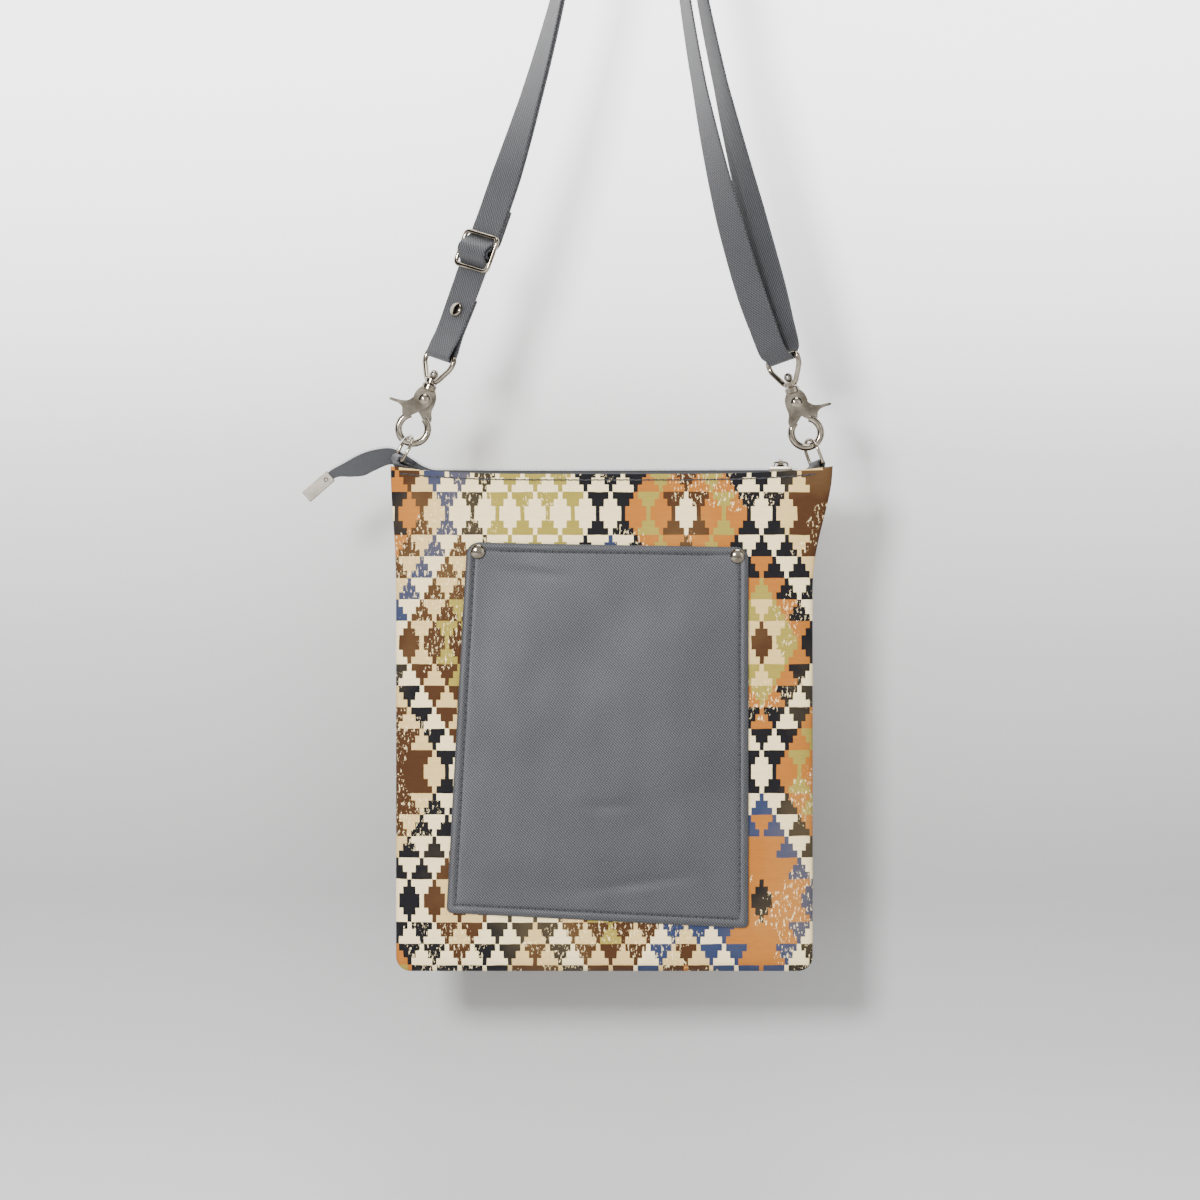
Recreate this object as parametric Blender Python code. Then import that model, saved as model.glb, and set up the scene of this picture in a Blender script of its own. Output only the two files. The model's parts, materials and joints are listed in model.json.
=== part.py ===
"""Crossbody bag: a soft zipped pouch hung by a doubled webbing strap on two swivel hooks.

Metres, +Z up, +X to the wearer's right in the front view, -Y towards the viewer.
The origin is the underside of the strap's highest point, where the bag hangs.
"""
import math

import bmesh
import bpy
import numpy as np
from mathutils import Matrix, Vector

# Clearances, and how far a cutter runs past a hole's middle
SEAT_GAP = 0.0003
RUN_GAP = 0.0004
HOOK_PLAY = 0.0009
BORE_REACH = 0.0100

# Bag body
BAG_WIDTH = 0.229
BAG_HEIGHT = 0.2775
BAG_CENTRE_X = -0.0152
STRAP_DROP = 0.4380
FLARE_LEFT = 0.0029
FLARE_RIGHT = 0.0110
FLARE_HEIGHT = 0.070
MOUTH_DIP = 0.0045
DIP_HEIGHT = 0.060
WALL = 0.0016
TOP_HALF_DEPTH = 0.0085
MIDDLE_HALF_DEPTH = 0.0130
BOTTOM_HALF_DEPTH = 0.0105
TOP_SQUARENESS = 9.0
MIDDLE_SQUARENESS = 4.0
CORNER_RADIUS = 0.0080
BOTTOM_ROUNDING = 0.0095
BODY_COLUMNS = 22
BODY_ROWS = 13

# Front pocket, measured from the bag's centre line and top corners
POCKET_TOP = 0.0410
POCKET_TOP_SLOPE = 0.0027
POCKET_LEFT_TOP = -0.0753
POCKET_LEFT_BOTTOM = -0.0866
POCKET_RIGHT = 0.0789
POCKET_ABOVE_BOTTOM = 0.0325
POCKET_BOTTOM_SLOPE = 0.0082
POCKET_THICKNESS = 0.0014
POCKET_TOP_RADIUS = 0.0068
POCKET_BOTTOM_RADIUS = 0.0030
POCKET_COLUMNS = 12
POCKET_RIVET_INSET_X = 0.0060
POCKET_RIVET_INSET_Z = 0.0055
RIVET_RADIUS = 0.0040
RIVET_DOME = 0.0019
RIVET_SHANK_RADIUS = 0.0011
RIVET_BACK_RADIUS = 0.0031
RIVET_BACK_THICKNESS = 0.0009

# Zip: the ridge is the line where the two coils meet
RIDGE_BELOW_CORNER = 0.0017
TAPE_THICKNESS = 0.0008
TAPE_DROP = 0.0090
COIL_HALF = 0.00105
COIL_HEIGHT = 0.0012
ZIP_RIGHT_INSET = 0.0190
ZIP_LEFT_INSET = 0.0250
CAP_LENGTH = 0.0180
CAP_WIDTH = 0.0070
CAP_THICKNESS = 0.0038
CAP_WALL = 0.0006
CAP_EDGE = 0.0004
CAP_SLOPE = math.radians(41)
CAP_OUT = 0.0330
CAP_FALL = 0.0052
CAP_INSERT = 0.0072
CAP_SCREW_RADIUS = 0.0008
CAP_SCREW_INSET = 0.0034
SLIDER_LENGTH = 0.0125
SLIDER_HALF_WIDTH = 0.0031
SLIDER_INNER_HALF = 0.0020
SLIDER_SKIRT = 0.0021
SLIDER_TOP = 0.0011
SLIDER_FROM_END = 0.0095
BRIDGE_RISE = 0.0024
BRIDGE_RADIUS = 0.0006
BRIDGE_LENGTH = 0.0072
PULL_LENGTH = 0.0230
PULL_WIDTH = 0.0048
PULL_THICKNESS = 0.0011
PULL_EYE = 0.0026
PULL_EYE_WALL = 0.0007
PULL_EYE_HALF = 0.0012
PULL_REST_ANGLE = math.radians(110)

# D-rings and the webbing tabs that hold them
RING_WIRE = 0.0010
RING_WIDTH = 0.0150
RING_HEIGHT = 0.0145
LEFT_RING_LEAN = math.radians(30)
RIGHT_RING_LEAN = math.radians(-20)
LEFT_RING_YAW = math.radians(-70)
RIGHT_RING_YAW = math.radians(-65)
LEFT_BAR_INSET = 0.0042
RIGHT_BAR_INSET = 0.0085
LEFT_BAR_RISE = 0.0038
RIGHT_BAR_RISE = 0.0009
LEFT_CHAIN_Y = -0.0054
TAB_WIDTH = 0.0112
TAB_PLY = 0.0012
TAB_DEPTH = 0.0150
LEFT_TAB_INSET = 0.0085
RIGHT_TAB_INSET = 0.0115
TAB_ROOT_Y = 0.0014
TAB_TWIST_START = 0.62
TAB_SHIFT_START = 0.70

# Swivel hooks, measured up from the centre of the hook's ring
HOOK_RING_RADIUS = 0.00805
HOOK_SECTION_RADIUS = 0.0020
LEFT_CLIP_LEAN = math.radians(21)
RIGHT_CLIP_LEAN = math.radians(-17.8)
PIVOT_RISE = 0.0173
NECK_BOTTOM = 0.0224
NECK_TOP = 0.0264
NECK_RADIUS = 0.0041
PLATE_NEAR = 0.0007
PLATE_FAR = 0.0026
JAW_SPLIT = math.radians(290)
ARC_UPPER = math.radians(118)
PIVOT_SHANK_RADIUS = 0.0014
PIVOT_HEAD_RADIUS = 0.0030
PIVOT_HEAD_HEIGHT = 0.0011
SPRING_WIRE = 0.00035
SPRING_TURNS = 2.25
PIN_RADIUS = 0.0019
PIN_BALL_RADIUS = 0.0025
PIN_END = 0.0236
EYE_WIRE = 0.0015
EYE_BOSS_RADIUS = 0.0036
EYE_BOSS_HEIGHT = 0.0028
EYE_BAR_RISE = 0.0435
EYE_SIDE_CLEARANCE = 0.0005
EYE_SHOULDER_DROP = 0.0055
EYE_YAW = math.radians(-48)

# Strap
WEBBING_WIDTH = 0.0200
WEBBING_THICKNESS = 0.0012
PLY_PITCH = 0.0016
HANGER_RADIUS = 0.0180
LEFT_HANDLE = 0.100
RIGHT_HANDLE = 0.100
TOP_HANDLE = 0.130
LEFT_TWIST = ((0.0, 48), (0.13, 38), (0.24, 42), (0.38, 56), (0.60, 75), (1.0, 90))
RIGHT_TWIST = ((0.0, 48), (0.10, 42), (0.22, 48), (0.42, 70), (0.60, 77), (1.0, 90))
RIGHT_LOOP_SPREAD = 0.0060
SPREAD_POWER = 0.45
SHORT_END = 0.0340
STRAP_RIVET_RISE = 0.0260
RUN_STEP = 0.0125
BUCKLE_RISE = 0.0600
BUCKLE_PITCH = 0.0096
BUCKLE_WIRE = 0.0013
BUCKLE_SIDE_CLEARANCE = 0.0006
BUCKLE_TAIL = 0.0260
HUMP_RADIUS = 0.0044

RING_SIDES = 8
ROUND_STEPS = 16

# Derived places
TOP_Z = -STRAP_DROP
LEFT_X = BAG_CENTRE_X - BAG_WIDTH / 2 - FLARE_LEFT
RIGHT_X = BAG_CENTRE_X + BAG_WIDTH / 2 + FLARE_RIGHT
POCKET_BOTTOM = BAG_HEIGHT - POCKET_ABOVE_BOTTOM
RIDGE_Z = TOP_Z - RIDGE_BELOW_CORNER
WEB_CENTRE = WEBBING_THICKNESS / 2


def clear_scene():
    for obj in list(bpy.data.objects):
        bpy.data.objects.remove(obj, do_unlink=True)


def make_material(name, color, roughness, metallic):
    mat = bpy.data.materials.new(name)
    mat.use_nodes = True
    shader = mat.node_tree.nodes["Principled BSDF"]
    shader.inputs["Base Color"].default_value = (*color, 1.0)
    shader.inputs["Roughness"].default_value = roughness
    shader.inputs["Metallic"].default_value = metallic
    mat.diffuse_color = (*color, 1.0)
    return mat


def add_solid(name, bm, mat, origin=(0, 0, 0)):
    """Closes a bmesh into a named object whose origin is the given point."""
    bmesh.ops.recalc_face_normals(bm, faces=bm.faces)
    if bm.calc_volume(signed=True) < 0:
        bmesh.ops.reverse_faces(bm, faces=bm.faces)
    mesh = bpy.data.meshes.new(name)
    bm.to_mesh(mesh)
    bm.free()
    mesh.transform(Matrix.Translation(-Vector(origin)))
    obj = bpy.data.objects.new(name, mesh)
    bpy.context.collection.objects.link(obj)
    obj.location = origin
    mesh.materials.append(mat)
    mesh.shade_smooth()
    mesh.set_sharp_from_angle(angle=math.radians(35))
    bpy.context.view_layer.update()
    return obj


def combine(target, others, operation):
    """Unites or cuts the target with the other objects, which are used up."""
    for other in others:
        modifier = target.modifiers.new(operation.lower(), "BOOLEAN")
        modifier.operation = operation
        modifier.solver = "EXACT"
        modifier.object = other
        graph = bpy.context.evaluated_depsgraph_get()
        mesh = bpy.data.meshes.new_from_object(target.evaluated_get(graph))
        old = target.data
        target.modifiers.remove(modifier)
        target.data = mesh
        mesh.name = target.name
        bpy.data.meshes.remove(old)
        bpy.data.objects.remove(other, do_unlink=True)
    mesh = target.data
    while len(mesh.materials) > 1:
        mesh.materials.pop(index=len(mesh.materials) - 1)
    for face in mesh.polygons:
        face.material_index = 0
    mesh.shade_smooth()
    mesh.set_sharp_from_angle(angle=math.radians(35))
    return target


def loft(sections, closed=False):
    """A bmesh through equal closed sections, joined end to end or capped."""
    bm = bmesh.new()
    rings = [[bm.verts.new(point) for point in section] for section in sections]
    count = len(rings[0])
    pairs = list(zip(rings, rings[1:]))
    if closed:
        pairs.append((rings[-1], rings[0]))
    for ring, following in pairs:
        for i in range(count):
            j = (i + 1) % count
            bm.faces.new((ring[i], ring[j], following[j], following[i]))
    if not closed:
        bm.faces.new(rings[0])
        bm.faces.new(list(reversed(rings[-1])))
    return bm


def turned(profile, frame, steps=ROUND_STEPS):
    """Turns (radius, height) points, which start and end on the axis, about local Z."""
    bm = bmesh.new()
    rows = []
    for radius, height in profile:
        if radius < 1e-7:
            rows.append([bm.verts.new(frame @ Vector((0, 0, height)))])
            continue
        angles = [math.tau * k / steps for k in range(steps)]
        points = [Vector((radius * math.cos(a), radius * math.sin(a), height)) for a in angles]
        rows.append([bm.verts.new(frame @ point) for point in points])
    for low, high in zip(rows, rows[1:]):
        for k in range(steps):
            following = (k + 1) % steps
            corners = [low[k % len(low)], low[following % len(low)]]
            corners += [high[following % len(high)], high[k % len(high)]]
            bm.faces.new(list(dict.fromkeys(corners)))
    return bm


def cylinder(radius, low, high, frame, steps=ROUND_STEPS):
    return turned(((0, low), (radius, low), (radius, high), (0, high)), frame, steps)


def prism(outline, near, far, frame):
    """A plate: an outline in local X and Z, from near to far along local Y."""
    sections = [[frame @ Vector((x, y, z)) for x, z in outline] for y in (near, far)]
    return loft(sections)


def tube(points, radius, frame, closed, sides=RING_SIDES):
    """A round wire through points in the frame's XZ plane."""
    count = len(points)
    sections = []
    for k, (x, z) in enumerate(points):
        before = points[(k - 1) % count] if closed or k else points[k]
        after = points[(k + 1) % count] if closed or k < count - 1 else points[k]
        along = Vector((after[0] - before[0], 0, after[1] - before[1])).normalized()
        side = Vector((along.z, 0, -along.x))
        ring = []
        for i in range(sides):
            angle = math.tau * (i + 0.5) / sides
            offset = side * math.cos(angle) + Vector((0, 1, 0)) * math.sin(angle)
            ring.append(frame @ (Vector((x, 0, z)) + offset * radius))
        sections.append(ring)
    return loft(sections, closed)


def arc(centre, radius, start, end, steps):
    """Points of an arc; angles run from local X towards local Z."""
    angles = [start + (end - start) * k / steps for k in range(steps + 1)]
    return [(centre[0] + radius * math.cos(a), centre[1] + radius * math.sin(a)) for a in angles]


def rounded_path(corners, radius, steps=3):
    """A closed outline with each corner replaced by a short curve."""
    points = []
    count = len(corners)
    for k, corner in enumerate(corners):
        here = Vector(corner)
        before = Vector(corners[k - 1])
        after = Vector(corners[(k + 1) % count])
        cut = min(radius, (before - here).length * 0.45, (after - here).length * 0.45)
        start = here + (before - here).normalized() * cut
        end = here + (after - here).normalized() * cut
        for i in range(steps + 1):
            t = i / steps
            points.append(tuple(start * (1 - t) ** 2 + here * 2 * t * (1 - t) + end * t**2))
    return points


# The bag's form

def smooth_step(value):
    value = min(max(value, 0.0), 1.0)
    return value * value * (3 - 2 * value)


def half_width(drop, side):
    """Half the bag's width at a distance below the top corners."""
    flare = FLARE_LEFT if side < 0 else FLARE_RIGHT
    width = BAG_WIDTH / 2 + flare * (1 - smooth_step(drop / FLARE_HEIGHT)) ** 1.3
    into_corner = drop - (BAG_HEIGHT - CORNER_RADIUS)
    if into_corner > 0:
        share = min(into_corner / CORNER_RADIUS, 1.0)
        width -= CORNER_RADIUS * (1 - math.sqrt(1 - share * share))
    return width


def half_depth(drop):
    """Half the bag's depth at its middle, at a distance below the top corners."""
    share = drop / BAG_HEIGHT
    if share < 0.5:
        depth = TOP_HALF_DEPTH + (MIDDLE_HALF_DEPTH - TOP_HALF_DEPTH) * smooth_step(share / 0.5)
    else:
        fall = smooth_step((share - 0.5) / 0.5)
        depth = MIDDLE_HALF_DEPTH + (BOTTOM_HALF_DEPTH - MIDDLE_HALF_DEPTH) * fall
    into_bottom = drop - (BAG_HEIGHT - BOTTOM_ROUNDING)
    if into_bottom > 0:
        share = min(into_bottom / BOTTOM_ROUNDING, 1.0)
        depth *= math.sqrt(1 - share * share)
    return depth


def squareness(drop):
    share = smooth_step(drop / (BAG_HEIGHT * 0.4))
    return TOP_SQUARENESS + (MIDDLE_SQUARENESS - TOP_SQUARENESS) * share


def mouth_dip(x, drop):
    """How far the fabric sags below the straight line between its top corners."""
    half = half_width(drop, x - BAG_CENTRE_X)
    across = min(abs(x - BAG_CENTRE_X) / half, 1.0)
    return MOUTH_DIP * (1 - across**4) * (1 - smooth_step(drop / DIP_HEIGHT))


def front_depth(x, drop):
    """The outer surface's distance from the seam plane."""
    half = half_width(drop, x - BAG_CENTRE_X)
    power = squareness(drop)
    across = min(abs(x - BAG_CENTRE_X) / half, 1.0)
    return half_depth(drop) * (1 - across**power) ** (1 / power)


def shell_rows():
    """Distances below the top corners, closer together where the bottom turns."""
    straight = BAG_HEIGHT - BOTTOM_ROUNDING
    rows = [straight * (k / (BODY_ROWS - 5)) for k in range(BODY_ROWS - 4)]
    for k in range(1, 5):
        rows.append(straight + BOTTOM_ROUNDING * math.sin(math.pi / 2 * k / 4))
    return rows


def shell_grid(side, inset):
    """A grid of points over half of the bag, moved inwards by the inset."""
    seam = SEAT_GAP / 2
    grid = []
    for drop in shell_rows():
        power = squareness(drop)
        depth = max(half_depth(drop) - inset, 0.0)
        row = []
        for k in range(BODY_COLUMNS + 1):
            angle = math.pi * k / BODY_COLUMNS
            cosine = -math.cos(angle)
            across = math.copysign(abs(cosine) ** (2 / power), cosine)
            x = BAG_CENTRE_X + across * (half_width(drop, cosine) - inset)
            y = seam + depth * abs(math.sin(angle)) ** (2 / power)
            lift = inset * smooth_step((drop - BAG_HEIGHT / 2) / (BAG_HEIGHT / 2))
            z = TOP_Z - drop - mouth_dip(x, drop) + lift
            row.append(Vector((x, side * y, z)))
        grid.append(row)
    return grid


def make_panel(name, side, mat):
    """Half of the bag: a soft wall open at the mouth, its rim on the seam plane."""
    bm = bmesh.new()
    outer = [[bm.verts.new(p) for p in row] for row in shell_grid(side, 0.0)]
    inner = [[bm.verts.new(p) for p in row] for row in shell_grid(side, WALL)]
    for grid in (outer, inner):
        for row, following in zip(grid, grid[1:]):
            for k in range(BODY_COLUMNS):
                bm.faces.new((row[k], row[k + 1], following[k + 1], following[k]))
    for top in (0, -1):
        for k in range(BODY_COLUMNS):
            bm.faces.new((outer[top][k], outer[top][k + 1], inner[top][k + 1], inner[top][k]))
    for edge in (0, -1):
        for row, following in zip(range(len(outer) - 1), range(1, len(outer))):
            corners = (outer[row][edge], outer[following][edge], inner[following][edge], inner[row][edge])
            bm.faces.new(corners)
    bmesh.ops.remove_doubles(bm, verts=bm.verts, dist=1e-6)
    bmesh.ops.dissolve_degenerate(bm, edges=bm.edges, dist=1e-6)
    return add_solid(name, bm, mat)


# Pocket

def pocket_edges(share):
    """The pocket's left and right X and the Z drop at a share of its height."""
    left = POCKET_LEFT_TOP + (POCKET_LEFT_BOTTOM - POCKET_LEFT_TOP) * share
    return left, POCKET_RIGHT


def pocket_shares():
    """Rows of the pocket, as shares of its height, with its rounded corners."""
    height = POCKET_BOTTOM - POCKET_TOP
    rows = [(POCKET_TOP_RADIUS * (1 - math.cos(a)), POCKET_TOP_RADIUS * (1 - math.sin(a))) for a in
            (0.0, math.pi / 6, math.pi / 3, math.pi / 2)]
    middle = [(POCKET_TOP_RADIUS + (height - POCKET_TOP_RADIUS - POCKET_BOTTOM_RADIUS) * k / 8, 0.0)
              for k in range(1, 9)]
    bottom = [(height - POCKET_BOTTOM_RADIUS * (1 - math.sin(a)), POCKET_BOTTOM_RADIUS * (1 - math.cos(a)))
              for a in (math.pi / 4, math.pi / 2)]
    return [(fall / height, inset) for fall, inset in rows + middle + bottom]


def pocket_point(share, across, inset, lift):
    left, right = pocket_edges(share)
    x = BAG_CENTRE_X + left + inset + (right - left - 2 * inset) * across
    slope = POCKET_TOP_SLOPE + (POCKET_BOTTOM_SLOPE - POCKET_TOP_SLOPE) * share
    drop = POCKET_TOP + (POCKET_BOTTOM - POCKET_TOP) * share + slope * across
    y = -(SEAT_GAP / 2 + front_depth(x, drop) + lift)
    return Vector((x, y, TOP_Z - drop - mouth_dip(x, drop)))


def make_pocket(mat):
    columns = POCKET_COLUMNS
    bm = bmesh.new()
    layers = []
    for lift in (SEAT_GAP, SEAT_GAP + POCKET_THICKNESS):
        rows = []
        for share, inset in pocket_shares():
            points = [pocket_point(share, k / columns, inset, lift) for k in range(columns + 1)]
            rows.append([bm.verts.new(point) for point in points])
        layers.append(rows)
    under, over = layers
    for rows in layers:
        for row, following in zip(rows, rows[1:]):
            for k in range(columns):
                bm.faces.new((row[k], row[k + 1], following[k + 1], following[k]))
    for end in (0, -1):
        for k in range(columns):
            bm.faces.new((under[end][k], under[end][k + 1], over[end][k + 1], over[end][k]))
        for row in range(len(under) - 1):
            bm.faces.new((under[row][end], under[row + 1][end], over[row + 1][end], over[row][end]))
    return add_solid("front_pocket", bm, mat)


def rivet_frame(side):
    """Local Z points out of the bag at the rivet, from the panel's outer surface."""
    left, right = pocket_edges(0.0)
    across = left + POCKET_RIVET_INSET_X if side < 0 else right - POCKET_RIVET_INSET_X
    x = BAG_CENTRE_X + across
    drop = POCKET_TOP + POCKET_RIVET_INSET_Z + POCKET_TOP_SLOPE * (0.0 if side < 0 else 1.0)
    y = -(SEAT_GAP / 2 + front_depth(x, drop))
    z = TOP_Z - drop - mouth_dip(x, drop)
    return Matrix.Translation((x, y, z)) @ Matrix.Rotation(math.pi / 2, 4, "X")


def dome(radius, base, height, steps=4):
    """Profile points of a low dome from its rim to its middle."""
    points = []
    for k in range(steps + 1):
        angle = math.pi / 2 * k / steps
        points.append((radius * math.cos(angle), base + height * math.sin(angle)))
    points[-1] = (0, base + height)
    return points


def make_pocket_rivets(panel, pocket, mat):
    """Two capped rivets through the pocket and the panel, with their backs inside."""
    seat = SEAT_GAP + POCKET_THICKNESS + SEAT_GAP * 2
    for side, word in ((-1, "left"), (1, "right")):
        frame = rivet_frame(side)
        inside = -(WALL + SEAT_GAP * 2)
        tip = inside - RIVET_BACK_THICKNESS
        profile = [(0, tip), (RIVET_SHANK_RADIUS, tip), (RIVET_SHANK_RADIUS, seat), (RIVET_RADIUS, seat)]
        profile += dome(RIVET_RADIUS, seat + 0.0004, RIVET_DOME - 0.0004)
        add_solid(f"pocket_rivet_{word}", turned(profile, frame), mat)
        hole_radius = RIVET_SHANK_RADIUS + SEAT_GAP
        hole = add_solid("hole", cylinder(hole_radius, tip * 2, seat * 2, frame, 12), mat)
        copy = add_solid("hole_copy", cylinder(hole_radius, tip * 2, seat * 2, frame, 12), mat)
        combine(panel, [hole], "DIFFERENCE")
        combine(pocket, [copy], "DIFFERENCE")
        back = add_solid(f"rivet_back_{word}", cylinder(RIVET_BACK_RADIUS, tip, inside, frame), mat)
        bore = add_solid("bore", cylinder(hole_radius, tip * 2, 0, frame, 12), mat)
        combine(back, [bore], "DIFFERENCE")


# Zip

def tape_spread():
    return TOP_HALF_DEPTH - WALL - SEAT_GAP


def cap_frame():
    """Local X runs along the end cap away from the bag, local Z across its width."""
    along = Vector((-math.cos(CAP_SLOPE), 0, -math.sin(CAP_SLOPE)))
    across = Vector((-math.sin(CAP_SLOPE), 0, math.cos(CAP_SLOPE)))
    depth = across.cross(along)
    rotation = Matrix((along, depth, across)).transposed().to_4x4()
    mouth = Vector((LEFT_X - CAP_OUT, 0, TOP_Z - CAP_FALL))
    return Matrix.Translation(mouth) @ rotation


def tape_stations():
    """Ridge point, drop, outer spread and lean of the drop, from the cap to the zip's right end."""
    frame = cap_frame()
    inner = CAP_WIDTH - 2 * CAP_WALL - 2 * SEAT_GAP
    end = frame @ Vector((CAP_INSERT, 0, inner / 2))
    mouth = frame @ Vector((-0.0015, 0, inner / 2))
    slim = COIL_HALF - 0.0001
    ring_back = LEFT_CHAIN_Y + RING_WIDTH / 2 * abs(math.sin(LEFT_RING_YAW)) + RING_WIRE
    slim_tail = 0.00115
    behind = ring_back + RUN_GAP + slim_tail

    def at(from_corner, rise, y):
        return Vector((LEFT_X + from_corner, y, TOP_Z + rise))

    straight_left = Vector((LEFT_X + ZIP_LEFT_INSET, 0, RIDGE_Z))
    straight_right = Vector((RIGHT_X - ZIP_RIGHT_INSET, 0, RIDGE_Z))
    lean = CAP_SLOPE
    return [
        (end, inner, slim, lean),
        (mouth, inner, slim, lean),
        (at(-0.0265, 0.0018, 0.0010), 0.0085, 0.0013, math.radians(27)),
        (at(-0.0170, 0.0070, 0.0022), 0.0122, 0.0017, math.radians(10)),
        (at(-0.0090, 0.0096, 0.0036), 0.0118, 0.0015, 0.0),
        (at(0.0000, 0.0104, behind), 0.0092, slim_tail, 0.0),
        (at(0.0065, 0.0076, behind), 0.0092, slim_tail, 0.0),
        (at(0.0128, 0.0036, behind * 0.85), 0.0092, 0.0020, 0.0),
        (at(0.0175, 0.0006, behind * 0.35), TAPE_DROP, tape_spread() - 0.0020, 0.0),
        (straight_left, TAPE_DROP, tape_spread(), 0.0),
        (straight_right, TAPE_DROP, tape_spread(), 0.0),
    ]


def make_stringer(name, side, mat):
    """One zip tape with its coil along the ridge; it runs on past the bag as the tail."""
    sections = []
    apart = SEAT_GAP / 2
    for ridge, drop, spread, lean in tape_stations():
        down = Vector((math.sin(lean), 0, -math.cos(lean)))
        outline = [
            (apart, 0.0),
            (COIL_HALF, 0.0),
            (COIL_HALF, COIL_HEIGHT),
            (spread, drop),
            (spread - TAPE_THICKNESS, drop),
            (apart + 0.0001, COIL_HEIGHT + 0.0004),
            (apart, COIL_HEIGHT),
        ]
        sections.append([ridge + Vector((0, side * out, 0)) + down * fall for out, fall in outline])
    return add_solid(name, loft(sections), mat)


def make_end_cap(stringers, metal):
    """A folded metal box on the tail's end, held by a small screw through both tapes."""
    frame = cap_frame()
    half_w = CAP_WIDTH / 2
    half_t = CAP_THICKNESS / 2
    outline = [(0, -half_w), (CAP_LENGTH, -half_w), (CAP_LENGTH, half_w), (0, half_w)]
    box = prism(outline, -half_t, half_t, frame)
    bmesh.ops.bevel(box, geom=list(box.edges), offset=CAP_EDGE, segments=2, profile=0.5, affect="EDGES")
    cap = add_solid("zip_end_cap", box, metal)
    inner_w = half_w - CAP_WALL
    inner_t = half_t - CAP_WALL
    end = CAP_INSERT + SEAT_GAP
    pocket = [(-0.001, -inner_w), (end, -inner_w), (end, inner_w), (-0.001, inner_w)]
    combine(cap, [add_solid("space", prism(pocket, -inner_t, inner_t, frame), metal)], "DIFFERENCE")
    screw_at = frame @ Matrix.Translation((CAP_SCREW_INSET, 0, 0)) @ Matrix.Rotation(math.pi / 2, 4, "X")
    head = half_t + SEAT_GAP
    shank = CAP_SCREW_RADIUS
    profile = [(0, -half_t), (shank, -half_t), (shank, head), (shank * 2, head)]
    profile += [(shank * 1.6, head + 0.0005), (0, head + 0.0006)]
    add_solid("end_cap_screw", turned(profile, screw_at, 12), metal)
    for target in [cap] + stringers:
        hole_solid = cylinder(shank + SEAT_GAP, -BORE_REACH, BORE_REACH, screw_at, 12)
        hole = add_solid("hole", hole_solid, metal)
        combine(target, [hole], "DIFFERENCE")


def slider_place():
    return Vector((RIGHT_X - ZIP_RIGHT_INSET - SLIDER_FROM_END, 0, RIDGE_Z))


def make_slider(metal):
    """A saddle over the two coils with a bridge on top, and the pull that swings on it."""
    place = slider_place()
    half = SLIDER_LENGTH / 2
    top = RUN_GAP + SLIDER_TOP
    section = [
        (-SLIDER_HALF_WIDTH, -SLIDER_SKIRT),
        (-SLIDER_INNER_HALF, -SLIDER_SKIRT),
        (-SLIDER_INNER_HALF + 0.0004, RUN_GAP),
        (SLIDER_INNER_HALF - 0.0004, RUN_GAP),
        (SLIDER_INNER_HALF, -SLIDER_SKIRT),
        (SLIDER_HALF_WIDTH, -SLIDER_SKIRT),
        (SLIDER_HALF_WIDTH, top - 0.0012),
        (SLIDER_HALF_WIDTH - 0.0010, top),
        (-SLIDER_HALF_WIDTH + 0.0010, top),
        (-SLIDER_HALF_WIDTH, top - 0.0012),
    ]
    taper = ((-half, 0.78), (-half * 0.6, 1.0), (half * 0.6, 1.0), (half, 0.84))
    sections = []
    for along, share in taper:
        widths = [(y if abs(y) <= SLIDER_INNER_HALF else math.copysign(
            SLIDER_INNER_HALF + (abs(y) - SLIDER_INNER_HALF) * share, y), z) for y, z in section]
        sections.append([place + Vector((along, y, z)) for y, z in widths])
    body = add_solid("zip_slider", loft(sections), metal, place)
    bridge_z = bridge_height()
    reach = BRIDGE_LENGTH / 2
    path = [(-reach - 0.0006, top - 0.0006), (-reach, bridge_z - 0.0006), (-reach + 0.0009, bridge_z)]
    path += [(reach - 0.0009, bridge_z), (reach, bridge_z - 0.0006), (reach + 0.0006, top - 0.0006)]
    bridge = tube(path, BRIDGE_RADIUS, Matrix.Translation(place), False, 8)
    combine(body, [add_solid("bridge", bridge, metal)], "UNION")
    body.location = place
    return body


def bridge_height():
    return RUN_GAP + SLIDER_TOP + BRIDGE_RISE


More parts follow.
